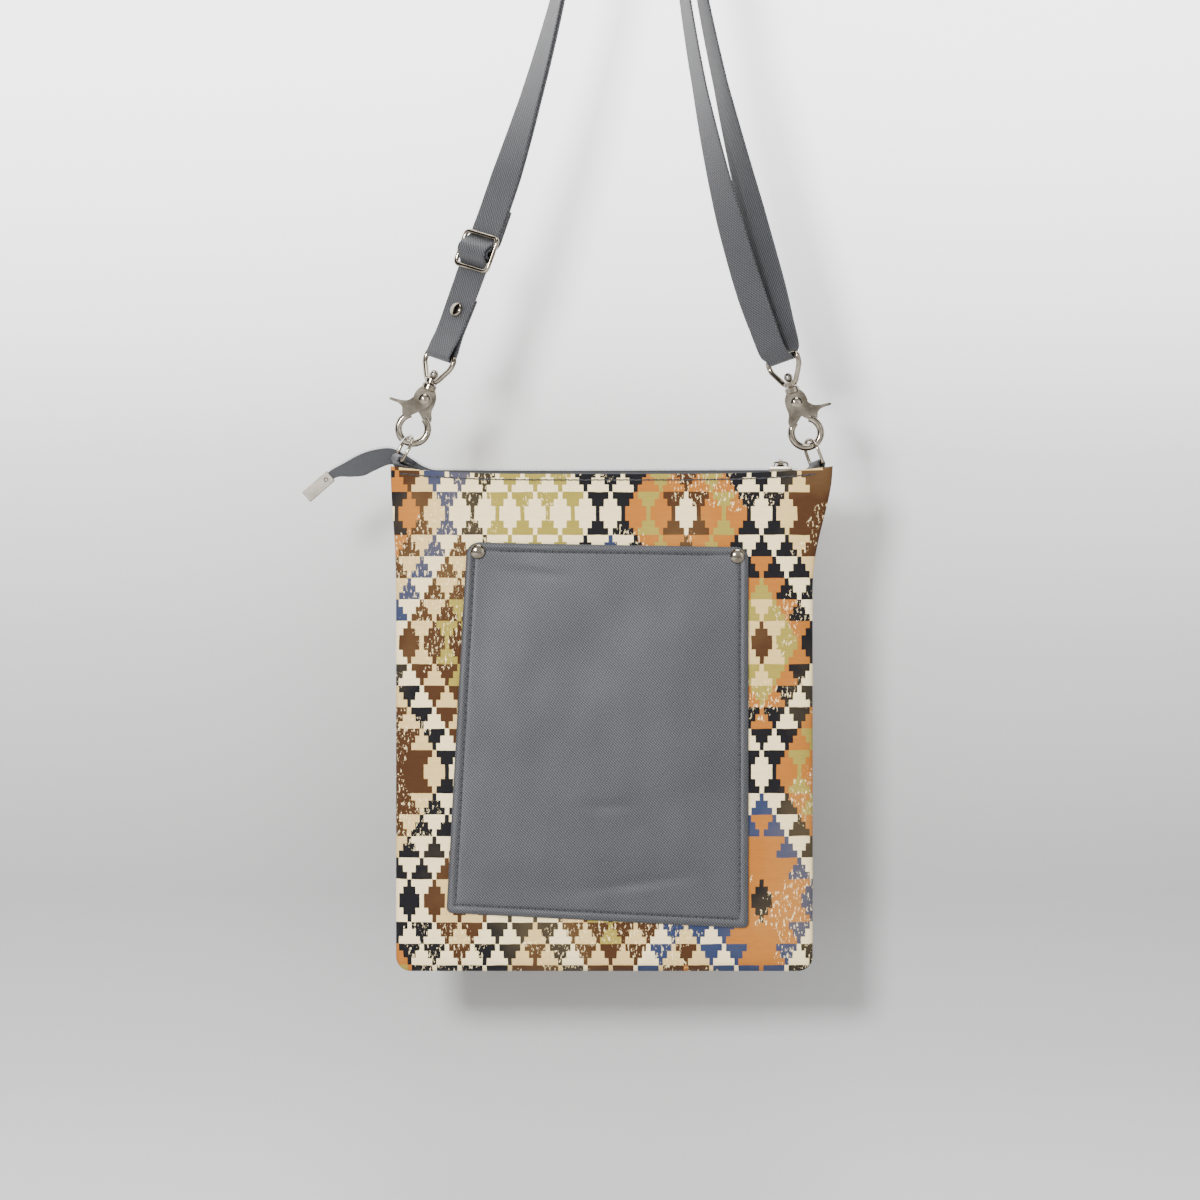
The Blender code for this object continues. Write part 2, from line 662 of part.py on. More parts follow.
def make_pull(metal):
    """The zip's pull: a flat tongue whose eye is round the slider's bridge."""
    pivot = slider_place() + Vector((0, 0, bridge_height()))
    out = Vector((0, math.sin(PULL_REST_ANGLE), math.cos(PULL_REST_ANGLE)))
    wide = Vector((1, 0, 0))
    thick = out.cross(wide)
    frame = Matrix.Translation(pivot) @ Matrix((wide, thick, out)).transposed().to_4x4()
    eye_r = BRIDGE_RADIUS + RUN_GAP
    loop = arc((0, 0), eye_r + PULL_EYE_WALL, 0, math.tau, 12)[:-1]
    ring_frame = Matrix.Translation(pivot) @ Matrix((out, wide, thick * -1)).transposed().to_4x4()
    ring = prism(loop, -PULL_EYE_HALF, PULL_EYE_HALF, ring_frame)
    pull = add_solid("zip_pull", ring, metal, pivot)
    stem_foot = eye_r + PULL_EYE_WALL * 0.4
    stem = [(-PULL_EYE_HALF, stem_foot), (PULL_EYE_HALF, stem_foot), (PULL_WIDTH / 2, PULL_EYE + 0.003),
            (PULL_WIDTH / 2 + 0.0004, PULL_LENGTH - 0.0025), (PULL_WIDTH / 2 - 0.0012, PULL_LENGTH),
            (-PULL_WIDTH / 2 + 0.0012, PULL_LENGTH), (-PULL_WIDTH / 2 - 0.0004, PULL_LENGTH - 0.0025),
            (-PULL_WIDTH / 2, PULL_EYE + 0.003)]
    tongue = add_solid("tongue", prism(stem, -PULL_THICKNESS / 2, PULL_THICKNESS / 2, frame), metal)
    combine(pull, [tongue], "UNION")
    bore_frame = ring_frame @ Matrix.Rotation(math.pi / 2, 4, "X")
    bore = add_solid("bore", cylinder(eye_r, -BORE_REACH, BORE_REACH, bore_frame, 12), metal)
    combine(pull, [bore], "DIFFERENCE")
    pull.location = pivot
    return pull


# The chain at each side: tab, D-ring, hook, eye

def leaning(lean):
    """Unit vectors up along a lean and across it, in the XZ plane."""
    up = Vector((math.sin(lean), 0, math.cos(lean)))
    across = Vector((math.cos(lean), 0, -math.sin(lean)))
    return up, across


def turned_frame(place, lean, yaw):
    """Local Z up along the lean, local X across it and turned by the yaw."""
    up, across = leaning(lean)
    x_axis = across * math.cos(yaw) + Vector((0, 1, 0)) * math.sin(yaw)
    y_axis = up.cross(x_axis)
    return Matrix.Translation(place) @ Matrix((x_axis, y_axis, up)).transposed().to_4x4()


def side_values(word):
    """Places and leans of one side's chain, from the bag's corner up to the eye's bar."""
    if word == "left":
        bar = Vector((LEFT_X + LEFT_BAR_INSET, LEFT_CHAIN_Y, TOP_Z + LEFT_BAR_RISE))
        values = {"ring_lean": LEFT_RING_LEAN, "ring_yaw": LEFT_RING_YAW, "clip_lean": LEFT_CLIP_LEAN}
        values["root"] = Vector((LEFT_X + LEFT_TAB_INSET, -TAB_ROOT_Y, TOP_Z - TAB_DEPTH))
        values["turn"] = math.pi
    else:
        bar = Vector((RIGHT_X - RIGHT_BAR_INSET, 0, TOP_Z + RIGHT_BAR_RISE))
        values = {"ring_lean": RIGHT_RING_LEAN, "ring_yaw": RIGHT_RING_YAW, "clip_lean": RIGHT_CLIP_LEAN}
        values["root"] = Vector((RIGHT_X - RIGHT_TAB_INSET, 0, TOP_Z - TAB_DEPTH))
        values["turn"] = 0.0
    ring_up, _ = leaning(values["ring_lean"])
    clip_up, _ = leaning(values["clip_lean"])
    hooked = RING_HEIGHT - RING_WIRE - HOOK_SECTION_RADIUS - HOOK_PLAY
    values["bar"] = bar
    values["contact"] = bar + ring_up * hooked
    values["ring_centre"] = values["contact"] + clip_up * HOOK_RING_RADIUS
    values["eye_bar"] = values["ring_centre"] + clip_up * EYE_BAR_RISE
    return values


def ribbon(stations, width, thickness):
    """A flat band: stations give its centre, its width direction and its normal."""
    sections = []
    for centre, wide, normal in stations:
        half_w = wide * (width / 2)
        half_t = normal * (thickness / 2)
        sections.append([centre - half_w - half_t, centre + half_w - half_t,
                         centre + half_w + half_t, centre - half_w + half_t])
    return loft(sections)


def make_tab(word, mat):
    """A short webbing tab, folded round the D-ring's bar, its ends between the panels."""
    values = side_values(word)
    frame = turned_frame(values["bar"], values["ring_lean"], values["ring_yaw"])
    bar_x = frame.to_3x3() @ Vector((1, 0, 0))
    fold = RING_WIRE + SEAT_GAP + TAB_PLY / 2
    pitch = TAB_PLY + SEAT_GAP
    root = values["root"]
    up = (values["bar"] - root).normalized()
    bar_up = (up - bar_x * up.dot(bar_x)).normalized()
    flat_x = Vector((1, 0, 0))
    length = (values["bar"] - root).length
    rises = (0.0, 0.35, 0.62, 0.74, 0.82, 0.89, 0.95, 1.0)

    def ply(side):
        stations = []
        for rise in rises:
            turn = smooth_step((rise - TAB_TWIST_START) / (1 - TAB_TWIST_START))
            shift = smooth_step((rise - TAB_SHIFT_START) / (1 - TAB_SHIFT_START))
            wide = (flat_x * (1 - turn) + bar_x * turn).normalized()
            normal = up.cross(wide).normalized()
            away = pitch / 2 + (fold - pitch / 2) * smooth_step((rise - 0.5) / 0.5)
            middle = root + (values["bar"] - root) * shift
            middle.z = root.z + (values["bar"].z - root.z) * rise
            centre = middle + normal * (side * away)
            stations.append((centre, wide, normal * side))
        return stations

    normal = bar_up.cross(bar_x).normalized()
    bend = []
    for k in range(1, 6):
        angle = math.pi * k / 6
        out = normal * math.cos(angle) + bar_up * math.sin(angle)
        bend.append((values["bar"] + out * fold, bar_x, out))
    stations = ply(1) + bend + list(reversed(ply(-1)))
    return add_solid(f"ring_tab_{word}", ribbon(stations, TAB_WIDTH, TAB_PLY), mat)


def make_d_ring(word, metal):
    values = side_values(word)
    frame = turned_frame(values["bar"], values["ring_lean"], values["ring_yaw"])
    half = RING_WIDTH / 2
    bow = arc((0, RING_HEIGHT - half), half, 0, math.pi, 12)
    corner = 0.0014
    path = bow + [(-half, corner), (-half + corner * 0.3, corner * 0.3), (-half + corner, 0)]
    path += [(half - corner, 0), (half - corner * 0.3, corner * 0.3), (half, corner)]
    return add_solid(f"d_ring_{word}", tube(path, RING_WIRE, frame, True), metal, values["bar"])


BODY_OUTLINE = (
    (0.0034, 0.0246), (0.0058, 0.0208), (0.0064, 0.0173), (0.0054, 0.0136), (0.0016, 0.0104),
    (-0.0016, 0.0078), (-0.0044, 0.0052), (-0.0078, 0.0052), (-0.0078, 0.0086), (-0.0060, 0.0118),
    (-0.0064, 0.0173), (-0.0058, 0.0208), (-0.0034, 0.0246),
)
JAW_OUTLINE = (
    (-0.0042, 0.0193), (-0.0024, 0.0213), (0.0, 0.0218), (0.0030, 0.0210), (0.0050, 0.0186),
    (0.0064, 0.0156), (0.0086, 0.0133), (0.0125, 0.0122), (0.0176, 0.0118), (0.0184, 0.0110),
    (0.0176, 0.0103), (0.0125, 0.0104), (0.0098, 0.0092), (0.0085, 0.0052), (0.0056, 0.0042),
    (0.0036, 0.0064), (0.0008, 0.0092), (-0.0028, 0.0132), (-0.0046, 0.0164),
)


def make_hook(word, metal, steel):
    """The hook's fixed body, its jaw on a pivot rivet, the jaw's spring and the swivel pin."""
    values = side_values(word)
    frame = turned_frame(values["ring_centre"], values["clip_lean"], 0.0)
    frame = frame @ Matrix.Rotation(values["turn"], 4, "Z")
    swivel = frame @ Matrix.Translation((0, 0, NECK_TOP))
    origin = swivel.translation
    pivot = frame @ Matrix.Translation((0, 0, PIVOT_RISE))
    across_y = pivot @ Matrix.Rotation(math.pi / 2, 4, "X")

    body_plate = prism(BODY_OUTLINE, -PLATE_FAR, -PLATE_NEAR, frame)
    body = add_solid(f"hook_body_{word}", body_plate, metal, origin)
    left_bow = tube(arc((0, 0), HOOK_RING_RADIUS, ARC_UPPER, JAW_SPLIT, 14), HOOK_SECTION_RADIUS, frame, False)
    neck = [(0, NECK_BOTTOM), (NECK_RADIUS * 0.8, NECK_BOTTOM), (NECK_RADIUS, NECK_BOTTOM + 0.0008)]
    neck += [(NECK_RADIUS, NECK_TOP - 0.0007), (NECK_RADIUS * 0.8, NECK_TOP), (0, NECK_TOP)]
    parts = [add_solid("bow", left_bow, metal), add_solid("neck", turned(neck, frame), metal)]
    combine(body, parts, "UNION")
    bore = cylinder(PIN_RADIUS + SEAT_GAP, PIN_END - SEAT_GAP, NECK_TOP + 0.002, frame)
    hole = cylinder(PIVOT_SHANK_RADIUS + SEAT_GAP, -BORE_REACH, BORE_REACH, across_y)
    combine(body, [add_solid("bore", bore, metal), add_solid("hole", hole, metal)], "DIFFERENCE")

    jaw_plate = prism(list(reversed(JAW_OUTLINE)), PLATE_NEAR, PLATE_FAR, frame)
    jaw = add_solid(f"hook_jaw_{word}", jaw_plate, metal, pivot.translation)
    start = JAW_SPLIT + 2 * SEAT_GAP / HOOK_RING_RADIUS
    jaw_bow = arc((0, 0), HOOK_RING_RADIUS, start, math.tau + math.pi - ARC_UPPER, 10)
    combine(jaw, [add_solid("bow", tube(jaw_bow, HOOK_SECTION_RADIUS, frame, False), metal)], "UNION")
    hole = cylinder(PIVOT_SHANK_RADIUS + SEAT_GAP, -BORE_REACH, BORE_REACH, across_y)
    combine(jaw, [add_solid("hole", hole, metal)], "DIFFERENCE")

    face = PLATE_FAR + SEAT_GAP
    rivet = [(0, -face - PIVOT_HEAD_HEIGHT), (PIVOT_HEAD_RADIUS * 0.7, -face - PIVOT_HEAD_HEIGHT * 0.8)]
    rivet += [(PIVOT_HEAD_RADIUS, -face), (PIVOT_SHANK_RADIUS, -face), (PIVOT_SHANK_RADIUS, face)]
    rivet += [(PIVOT_HEAD_RADIUS, face), (PIVOT_HEAD_RADIUS * 0.7, face + PIVOT_HEAD_HEIGHT * 0.8)]
    rivet += [(0, face + PIVOT_HEAD_HEIGHT)]
    add_solid(f"pivot_rivet_{word}", turned(rivet, across_y), metal, pivot.translation)

    inner = PIVOT_SHANK_RADIUS + SEAT_GAP + SPRING_WIRE
    growth = 2 * SPRING_WIRE + SEAT_GAP
    spiral = []
    turns = int(SPRING_TURNS * 14)
    for k in range(turns + 1):
        angle = math.tau * k / 14
        radius = inner + growth * angle / math.tau
        spiral.append((radius * math.cos(angle), radius * math.sin(angle)))
    add_solid(f"jaw_spring_{word}", tube(spiral, SPRING_WIRE, pivot, False, 6), steel, pivot.translation)

    ball_z = NECK_TOP + SEAT_GAP + EYE_BOSS_HEIGHT + SEAT_GAP + PIN_BALL_RADIUS * 0.85
    pin = [(0, PIN_END), (PIN_RADIUS, PIN_END)]
    start = math.asin(PIN_RADIUS / PIN_BALL_RADIUS)
    for k in range(7):
        angle = start + (math.pi - start) * k / 6
        pin.append((PIN_BALL_RADIUS * math.sin(angle), ball_z - PIN_BALL_RADIUS * math.cos(angle)))
    pin[-1] = (0, ball_z + PIN_BALL_RADIUS)
    add_solid(f"swivel_pin_{word}", turned(pin, frame), steel, origin)


def make_eye(word, metal):
    """The hook's eye: a wire frame with a boss round the swivel pin."""
    values = side_values(word)
    frame = turned_frame(values["ring_centre"], values["clip_lean"], EYE_YAW)
    half = WEBBING_WIDTH / 2 + EYE_SIDE_CLEARANCE + EYE_WIRE
    boss_low = NECK_TOP + SEAT_GAP
    boss_high = boss_low + EYE_BOSS_HEIGHT
    base = (boss_low + boss_high) / 2
    shoulder = EYE_BAR_RISE - EYE_SHOULDER_DROP
    foot = EYE_BOSS_RADIUS + 0.0006
    corners = [(half, EYE_BAR_RISE), (-half, EYE_BAR_RISE), (-half, shoulder), (-foot, base), (foot, base),
               (half, shoulder)]
    path = rounded_path(corners, 0.0024)
    eye = add_solid(f"clip_eye_{word}", tube(path, EYE_WIRE, frame, True), metal, values["eye_bar"])
    boss = [(0, boss_low), (EYE_BOSS_RADIUS, boss_low), (EYE_BOSS_RADIUS, boss_high - 0.0005)]
    boss += [(EYE_BOSS_RADIUS - 0.0005, boss_high), (0, boss_high)]
    combine(eye, [add_solid("boss", turned(boss, frame), metal)], "UNION")
    bore = cylinder(PIN_RADIUS + SEAT_GAP, boss_low - 0.003, boss_high + 0.003, frame)
    combine(eye, [add_solid("bore", bore, metal)], "DIFFERENCE")
    eye.location = values["eye_bar"]
    return eye


# The strap: one piece of webbing whose centre curves climb from each eye to the top

class Run:
    """The middle line of the two plies on one side, from the eye's bar to the hanger."""

    def __init__(self, word):
        values = side_values(word)
        self.sign = 1 if word == "left" else -1
        self.twist = LEFT_TWIST if word == "left" else RIGHT_TWIST
        up, _ = leaning(values["clip_lean"])
        handle = LEFT_HANDLE if word == "left" else RIGHT_HANDLE
        middle = HANGER_RADIUS + WEBBING_THICKNESS / 2 + PLY_PITCH / 2
        start = values["eye_bar"]
        end = Vector((-self.sign * middle, 0, -HANGER_RADIUS))
        controls = [start, start + up * handle, end - Vector((0, 0, TOP_HANDLE)), end]
        count = 240
        self.points = []
        for k in range(count + 1):
            t = k / count
            shares = ((1 - t) ** 3, 3 * t * (1 - t) ** 2, 3 * t * t * (1 - t), t**3)
            self.points.append(sum((c * s for c, s in zip(controls, shares)), Vector()))
        self.lengths = [0.0]
        for here, following in zip(self.points, self.points[1:]):
            self.lengths.append(self.lengths[-1] + (following - here).length)
        self.length = self.lengths[-1]

    def place(self, rise):
        values = [np.interp(rise, self.lengths, [p[i] for p in self.points]) for i in range(3)]
        return Vector([float(value) for value in values])

    def frame(self, rise):
        """Point, tangent, width direction and outward direction at a length above the bar."""
        inside = min(max(rise, 0.0), self.length)
        point = self.place(inside)
        step = 0.002
        low = max(inside - step, 0.0)
        high = min(inside + step, self.length)
        tangent = (self.place(high) - self.place(low)).normalized()
        point = point + tangent * (rise - inside)
        share = inside / self.length
        angle = math.radians(float(np.interp(share, [a for a, _ in self.twist], [b for _, b in self.twist])))
        across = Vector((tangent.z, 0, -tangent.x)).normalized()
        wide = across * math.cos(angle) - Vector((0, 1, 0)) * math.sin(angle)
        wide = (wide - tangent * wide.dot(tangent)).normalized()
        outward = wide.cross(tangent) * self.sign
        return point, tangent, wide, outward, across

    def station(self, here, heading, spread=0.0):
        """A place on the band from (rise, outward offset) and its heading there."""
        point, tangent, wide, outward, across = self.frame(here[0])
        centre = point + outward * here[1] + across * spread
        ahead = Vector(heading).normalized()
        normal = (tangent * -ahead[1] + outward * ahead[0]) * self.sign
        return centre, wide, normal.normalized()


def stations_along(run, path, spread=None):
    """Stations for a path of (rise, offset) points on one run."""
    stations = []
    for k, here in enumerate(path):
        before = path[max(k - 1, 0)]
        after = path[min(k + 1, len(path) - 1)]
        heading = (after[0] - before[0], after[1] - before[1])
        stations.append(run.station(here, heading, spread(here) if spread else 0.0))
    return stations


def long_run(low, high, offset):
    count = max(int((high - low) / RUN_STEP), 2)
    return [(low + (high - low) * k / count, offset) for k in range(count + 1)]


def turn_round(centre, radius, start, end, steps):
    """Points round a bar; the angle runs from outward towards up."""
    points = []
    for k in range(steps + 1):
        angle = start + (end - start) * k / steps
        points.append((centre[0] + radius * math.sin(angle), centre[1] + radius * math.cos(angle)))
    return points


def buckle_plane():
    """Outward offset of the buckle's bars from the plies' middle line."""
    return PLY_PITCH / 2 + WEB_CENTRE + SEAT_GAP + BUCKLE_WIRE


def strap_stations():
    left = Run("left")
    right = Run("right")
    half = PLY_PITCH / 2
    eye_turn = EYE_WIRE + SEAT_GAP + WEB_CENTRE
    closing = 0.016
    low_bar = BUCKLE_RISE - BUCKLE_PITCH
    top_bar = BUCKLE_RISE + BUCKLE_PITCH
    plane = buckle_plane()
    hub = (BUCKLE_RISE, plane)
    hub_turn = BUCKLE_WIRE + SEAT_GAP + WEB_CENTRE

    riveted = [(SHORT_END, -half), (STRAP_RIVET_RISE + 0.003, -half), (STRAP_RIVET_RISE - 0.003, -half)]
    riveted += [(closing, -half), (closing * 0.6, -half - 0.0005), (closing * 0.3, -eye_turn * 0.88)]
    riveted += turn_round((0, 0), eye_turn, math.pi, math.tau, 8)
    riveted += [(closing * 0.3, eye_turn * 0.88), (closing * 0.6, half + 0.0005), (closing, half)]
    outer = riveted + [(STRAP_RIVET_RISE - 0.003, half), (STRAP_RIVET_RISE + 0.003, half)]
    outer += [(low_bar - 0.010, half), (low_bar, half), (low_bar + 0.0022, half + 0.0006)]
    outer += turn_round(hub, HUMP_RADIUS, math.radians(-50), math.radians(50), 6)
    outer += [(top_bar - 0.0016, half + 0.0004), (top_bar, half)]
    outer += long_run(top_bar + 0.004, left.length - 0.004, half)

    inner_down = list(reversed(long_run(top_bar + 0.004, left.length - 0.004, -half)))
    inner_down += [(top_bar, -half), (top_bar - 0.0018, -half + 0.0004)]
    inner_down += turn_round(hub, hub_turn, math.radians(48), math.radians(-180), 10)
    tail = half + PLY_PITCH
    inner_down += [(BUCKLE_RISE + 0.0032, plane - hub_turn - 0.0009), (top_bar - 0.0030, -tail + 0.0002)]
    inner_down += [(top_bar + 0.001, -tail), (BUCKLE_RISE + BUCKLE_TAIL, -tail)]

    def spread(side):
        def at(here):
            share = min(max(here[0] / right.length, 0.0), 1.0)
            return side * RIGHT_LOOP_SPREAD * math.sin(math.pi * share**SPREAD_POWER)
        return at

    close = [(0.0, 1.0), (0.005, 0.94), (0.011, 0.70), (0.018, 0.5)]

    def side_offset(rise, side):
        share = float(np.interp(rise, [a for a, _ in close], [b for _, b in close]))
        return side * (half + (eye_turn - half) * (share - 0.5) * 2)

    climbs = [0.005, 0.011, 0.018]
    climb_run = [rise for rise, _ in long_run(0.027, right.length - 0.004, 0)]
    down = [(rise, side_offset(rise, 1)) for rise in reversed(climbs + climb_run)]
    up = [(rise, side_offset(rise, -1)) for rise in climbs + climb_run]
    turn = turn_round((0, 0), eye_turn, 0, -math.pi, 8)

    def over_top(offset, direction):
        middle = HANGER_RADIUS + WEBBING_THICKNESS / 2 + PLY_PITCH / 2 + offset
        stations = []
        for k in range(13):
            angle = math.pi * (1 - k / 12) if direction > 0 else math.pi * k / 12
            out = Vector((math.cos(angle), 0, math.sin(angle)))
            centre = Vector((0, 0, -HANGER_RADIUS)) + out * middle
            stations.append((centre, Vector((0, -1, 0)), out * direction))
        return stations

    down_stations = stations_along(right, down, spread(1))
    up_stations = stations_along(right, up, spread(-1))
    stations = stations_along(left, outer)
    stations += over_top(half, 1)
    stations += down_stations
    stations += stations_along(right, turn)
    stations += up_stations
    stations += over_top(-half, -1)
    stations += stations_along(left, inner_down)
    return stations, left


def make_strap(mat, metal):
    stations, left = strap_stations()
    strap = add_solid("strap", ribbon(stations, WEBBING_WIDTH, WEBBING_THICKNESS), mat)
    point, tangent, wide, outward, _ = left.frame(STRAP_RIVET_RISE)
    frame = Matrix.Translation(point) @ Matrix((wide, tangent * -1, outward)).transposed().to_4x4()
    face = PLY_PITCH / 2 + WEB_CENTRE + SEAT_GAP
    shank = RIVET_SHANK_RADIUS
    cap = [(0, -face - RIVET_BACK_THICKNESS), (shank, -face - RIVET_BACK_THICKNESS), (shank, face)]
    cap += [(RIVET_RADIUS, face)] + dome(RIVET_RADIUS, face + 0.0004, RIVET_DOME - 0.0004)
    add_solid("strap_rivet", turned(cap, frame), metal)
    back = cylinder(RIVET_BACK_RADIUS, -face - RIVET_BACK_THICKNESS, -face, frame)
    back = add_solid("strap_rivet_back", back, metal)
    hole_radius = shank + SEAT_GAP
    for target in (strap, back):
        hole = add_solid("hole", cylinder(hole_radius, -BORE_REACH, BORE_REACH, frame, 12), metal)
        combine(target, [hole], "DIFFERENCE")
    return left


def make_buckle(left, metal):
    """The tri-glide: a frame of three bars, the strap's end round the middle one."""
    point, tangent, wide, outward, _ = left.frame(BUCKLE_RISE)
    rotation = Matrix((wide, outward * -1, tangent)).transposed().to_4x4()
    frame = Matrix.Translation(point + outward * buckle_plane()) @ rotation
    half = WEBBING_WIDTH / 2 + BUCKLE_SIDE_CLEARANCE + BUCKLE_WIRE
    corners = [(half, BUCKLE_PITCH), (-half, BUCKLE_PITCH), (-half, -BUCKLE_PITCH), (half, -BUCKLE_PITCH)]
    loop = tube(rounded_path(corners, 0.0030), BUCKLE_WIRE, frame, True)
    buckle = add_solid("strap_buckle", loop, metal, frame.translation)
    bar = tube([(-half, 0), (half, 0)], BUCKLE_WIRE * 0.98, frame, False)
    combine(buckle, [add_solid("bar", bar, metal)], "UNION")
    buckle.location = frame.translation
    return buckle


def main():
    clear_scene()
    canvas = make_material("canvas", (0.62, 0.50, 0.34), 0.85, 0.0)
    twill = make_material("grey_twill", (0.13, 0.14, 0.16), 0.55, 0.0)
    tape = make_material("zip_tape", (0.19, 0.20, 0.22), 0.8, 0.0)
    nickel = make_material("nickel", (0.72, 0.70, 0.66), 0.22, 1.0)
    steel = make_material("steel", (0.56, 0.56, 0.56), 0.35, 1.0)

    front = make_panel("front_panel", -1, canvas)
    make_panel("back_panel", 1, canvas)
    pocket = make_pocket(twill)
    make_pocket_rivets(front, pocket, nickel)
    stringers = [make_stringer("zip_stringer_front", -1, tape), make_stringer("zip_stringer_back", 1, tape)]
    make_end_cap(stringers, nickel)
    make_slider(nickel)
    make_pull(nickel)
    for word in ("left", "right"):
        make_tab(word, twill)
        make_d_ring(word, nickel)
        make_hook(word, nickel, steel)
        make_eye(word, nickel)
    left = make_strap(twill, nickel)
    make_buckle(left, nickel)


main()
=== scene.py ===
"""The dressed crossbody bag: canvas, twill and webbing as soft forms, and the hardware in fine detail.

The fixed frame holds the solids. Each piece here takes its place from the same named sizes as they do.
"""
import json
import math

import bmesh
import bpy
import numpy as np
from mathutils import Matrix, Vector, noise

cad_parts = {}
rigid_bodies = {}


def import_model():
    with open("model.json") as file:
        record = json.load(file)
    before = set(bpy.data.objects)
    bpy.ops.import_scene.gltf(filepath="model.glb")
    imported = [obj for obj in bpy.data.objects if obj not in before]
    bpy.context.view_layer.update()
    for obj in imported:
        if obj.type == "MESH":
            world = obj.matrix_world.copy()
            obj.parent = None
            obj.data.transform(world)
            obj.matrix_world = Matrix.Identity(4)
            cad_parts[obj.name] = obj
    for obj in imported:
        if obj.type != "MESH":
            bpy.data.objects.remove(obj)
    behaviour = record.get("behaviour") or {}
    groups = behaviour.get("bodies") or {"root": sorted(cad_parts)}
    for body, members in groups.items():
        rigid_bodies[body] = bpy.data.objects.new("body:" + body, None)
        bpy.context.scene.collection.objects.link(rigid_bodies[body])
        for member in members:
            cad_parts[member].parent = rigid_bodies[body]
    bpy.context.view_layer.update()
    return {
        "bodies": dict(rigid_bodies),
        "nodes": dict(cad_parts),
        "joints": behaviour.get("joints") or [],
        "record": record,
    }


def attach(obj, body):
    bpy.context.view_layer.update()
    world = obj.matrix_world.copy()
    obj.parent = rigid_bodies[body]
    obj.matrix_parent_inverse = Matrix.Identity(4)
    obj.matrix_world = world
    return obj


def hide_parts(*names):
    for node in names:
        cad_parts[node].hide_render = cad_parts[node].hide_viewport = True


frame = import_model()

# Clearances, and how far a cutter runs past a hole's middle
SEAT_GAP = 0.0003
RUN_GAP = 0.0004
HOOK_PLAY = 0.0009
BORE_REACH = 0.0100

# Bag body
BAG_WIDTH = 0.229
BAG_HEIGHT = 0.2775
BAG_CENTRE_X = -0.0152
STRAP_DROP = 0.4380
FLARE_LEFT = 0.0029
FLARE_RIGHT = 0.0110
FLARE_HEIGHT = 0.070
MOUTH_DIP = 0.0045
DIP_HEIGHT = 0.060
WALL = 0.0016
TOP_HALF_DEPTH = 0.0085
MIDDLE_HALF_DEPTH = 0.0130
BOTTOM_HALF_DEPTH = 0.0105
TOP_SQUARENESS = 9.0
MIDDLE_SQUARENESS = 4.0
CORNER_RADIUS = 0.0080
BOTTOM_ROUNDING = 0.0095

# Front pocket, measured from the bag's centre line and top corners
POCKET_TOP = 0.0410
POCKET_TOP_SLOPE = 0.0027
POCKET_LEFT_TOP = -0.0753
POCKET_LEFT_BOTTOM = -0.0866
POCKET_RIGHT = 0.0789
POCKET_ABOVE_BOTTOM = 0.0325
POCKET_BOTTOM_SLOPE = 0.0082
POCKET_THICKNESS = 0.0014
POCKET_TOP_RADIUS = 0.0068
POCKET_BOTTOM_RADIUS = 0.0030
POCKET_RIVET_INSET_X = 0.0060
POCKET_RIVET_INSET_Z = 0.0055
RIVET_RADIUS = 0.0040
RIVET_DOME = 0.0019
RIVET_SHANK_RADIUS = 0.0011
RIVET_BACK_RADIUS = 0.0031
RIVET_BACK_THICKNESS = 0.0009

# Zip: the ridge is the line where the two coils meet
RIDGE_BELOW_CORNER = 0.0017
TAPE_THICKNESS = 0.0008
TAPE_DROP = 0.0090
COIL_HALF = 0.00105
COIL_HEIGHT = 0.0012
ZIP_RIGHT_INSET = 0.0190
ZIP_LEFT_INSET = 0.0250
CAP_LENGTH = 0.0180
CAP_WIDTH = 0.0070
CAP_THICKNESS = 0.0038
CAP_WALL = 0.0006
CAP_EDGE = 0.0004
CAP_SLOPE = math.radians(41)
CAP_OUT = 0.0330
CAP_FALL = 0.0052
CAP_INSERT = 0.0072
CAP_SCREW_RADIUS = 0.0008
CAP_SCREW_INSET = 0.0034
SLIDER_LENGTH = 0.0125
SLIDER_HALF_WIDTH = 0.0031
SLIDER_INNER_HALF = 0.0020
SLIDER_SKIRT = 0.0021
SLIDER_TOP = 0.0011
SLIDER_FROM_END = 0.0095
BRIDGE_RISE = 0.0024
BRIDGE_RADIUS = 0.0006
BRIDGE_LENGTH = 0.0072
PULL_LENGTH = 0.0230
PULL_WIDTH = 0.0048
PULL_THICKNESS = 0.0011
PULL_EYE = 0.0026
PULL_EYE_WALL = 0.0007
PULL_EYE_HALF = 0.0012
PULL_REST_ANGLE = math.radians(110)

# D-rings and the webbing tabs that hold them
RING_WIRE = 0.00094
RING_WIDTH = 0.0150
RING_HEIGHT = 0.0145
LEFT_RING_LEAN = math.radians(30)
RIGHT_RING_LEAN = math.radians(-20)
LEFT_RING_YAW = math.radians(-70)
RIGHT_RING_YAW = math.radians(-65)
LEFT_BAR_INSET = 0.0042
RIGHT_BAR_INSET = 0.0085
LEFT_BAR_RISE = 0.0038
RIGHT_BAR_RISE = 0.0009
LEFT_CHAIN_Y = -0.0054
TAB_WIDTH = 0.0112
TAB_PLY = 0.0012
TAB_DEPTH = 0.0150
LEFT_TAB_INSET = 0.0085
RIGHT_TAB_INSET = 0.0115
TAB_ROOT_Y = 0.0014
TAB_TWIST_START = 0.62
TAB_SHIFT_START = 0.70
TAB_PLAIN = 0.35
TAB_FOLD_STEPS = 16

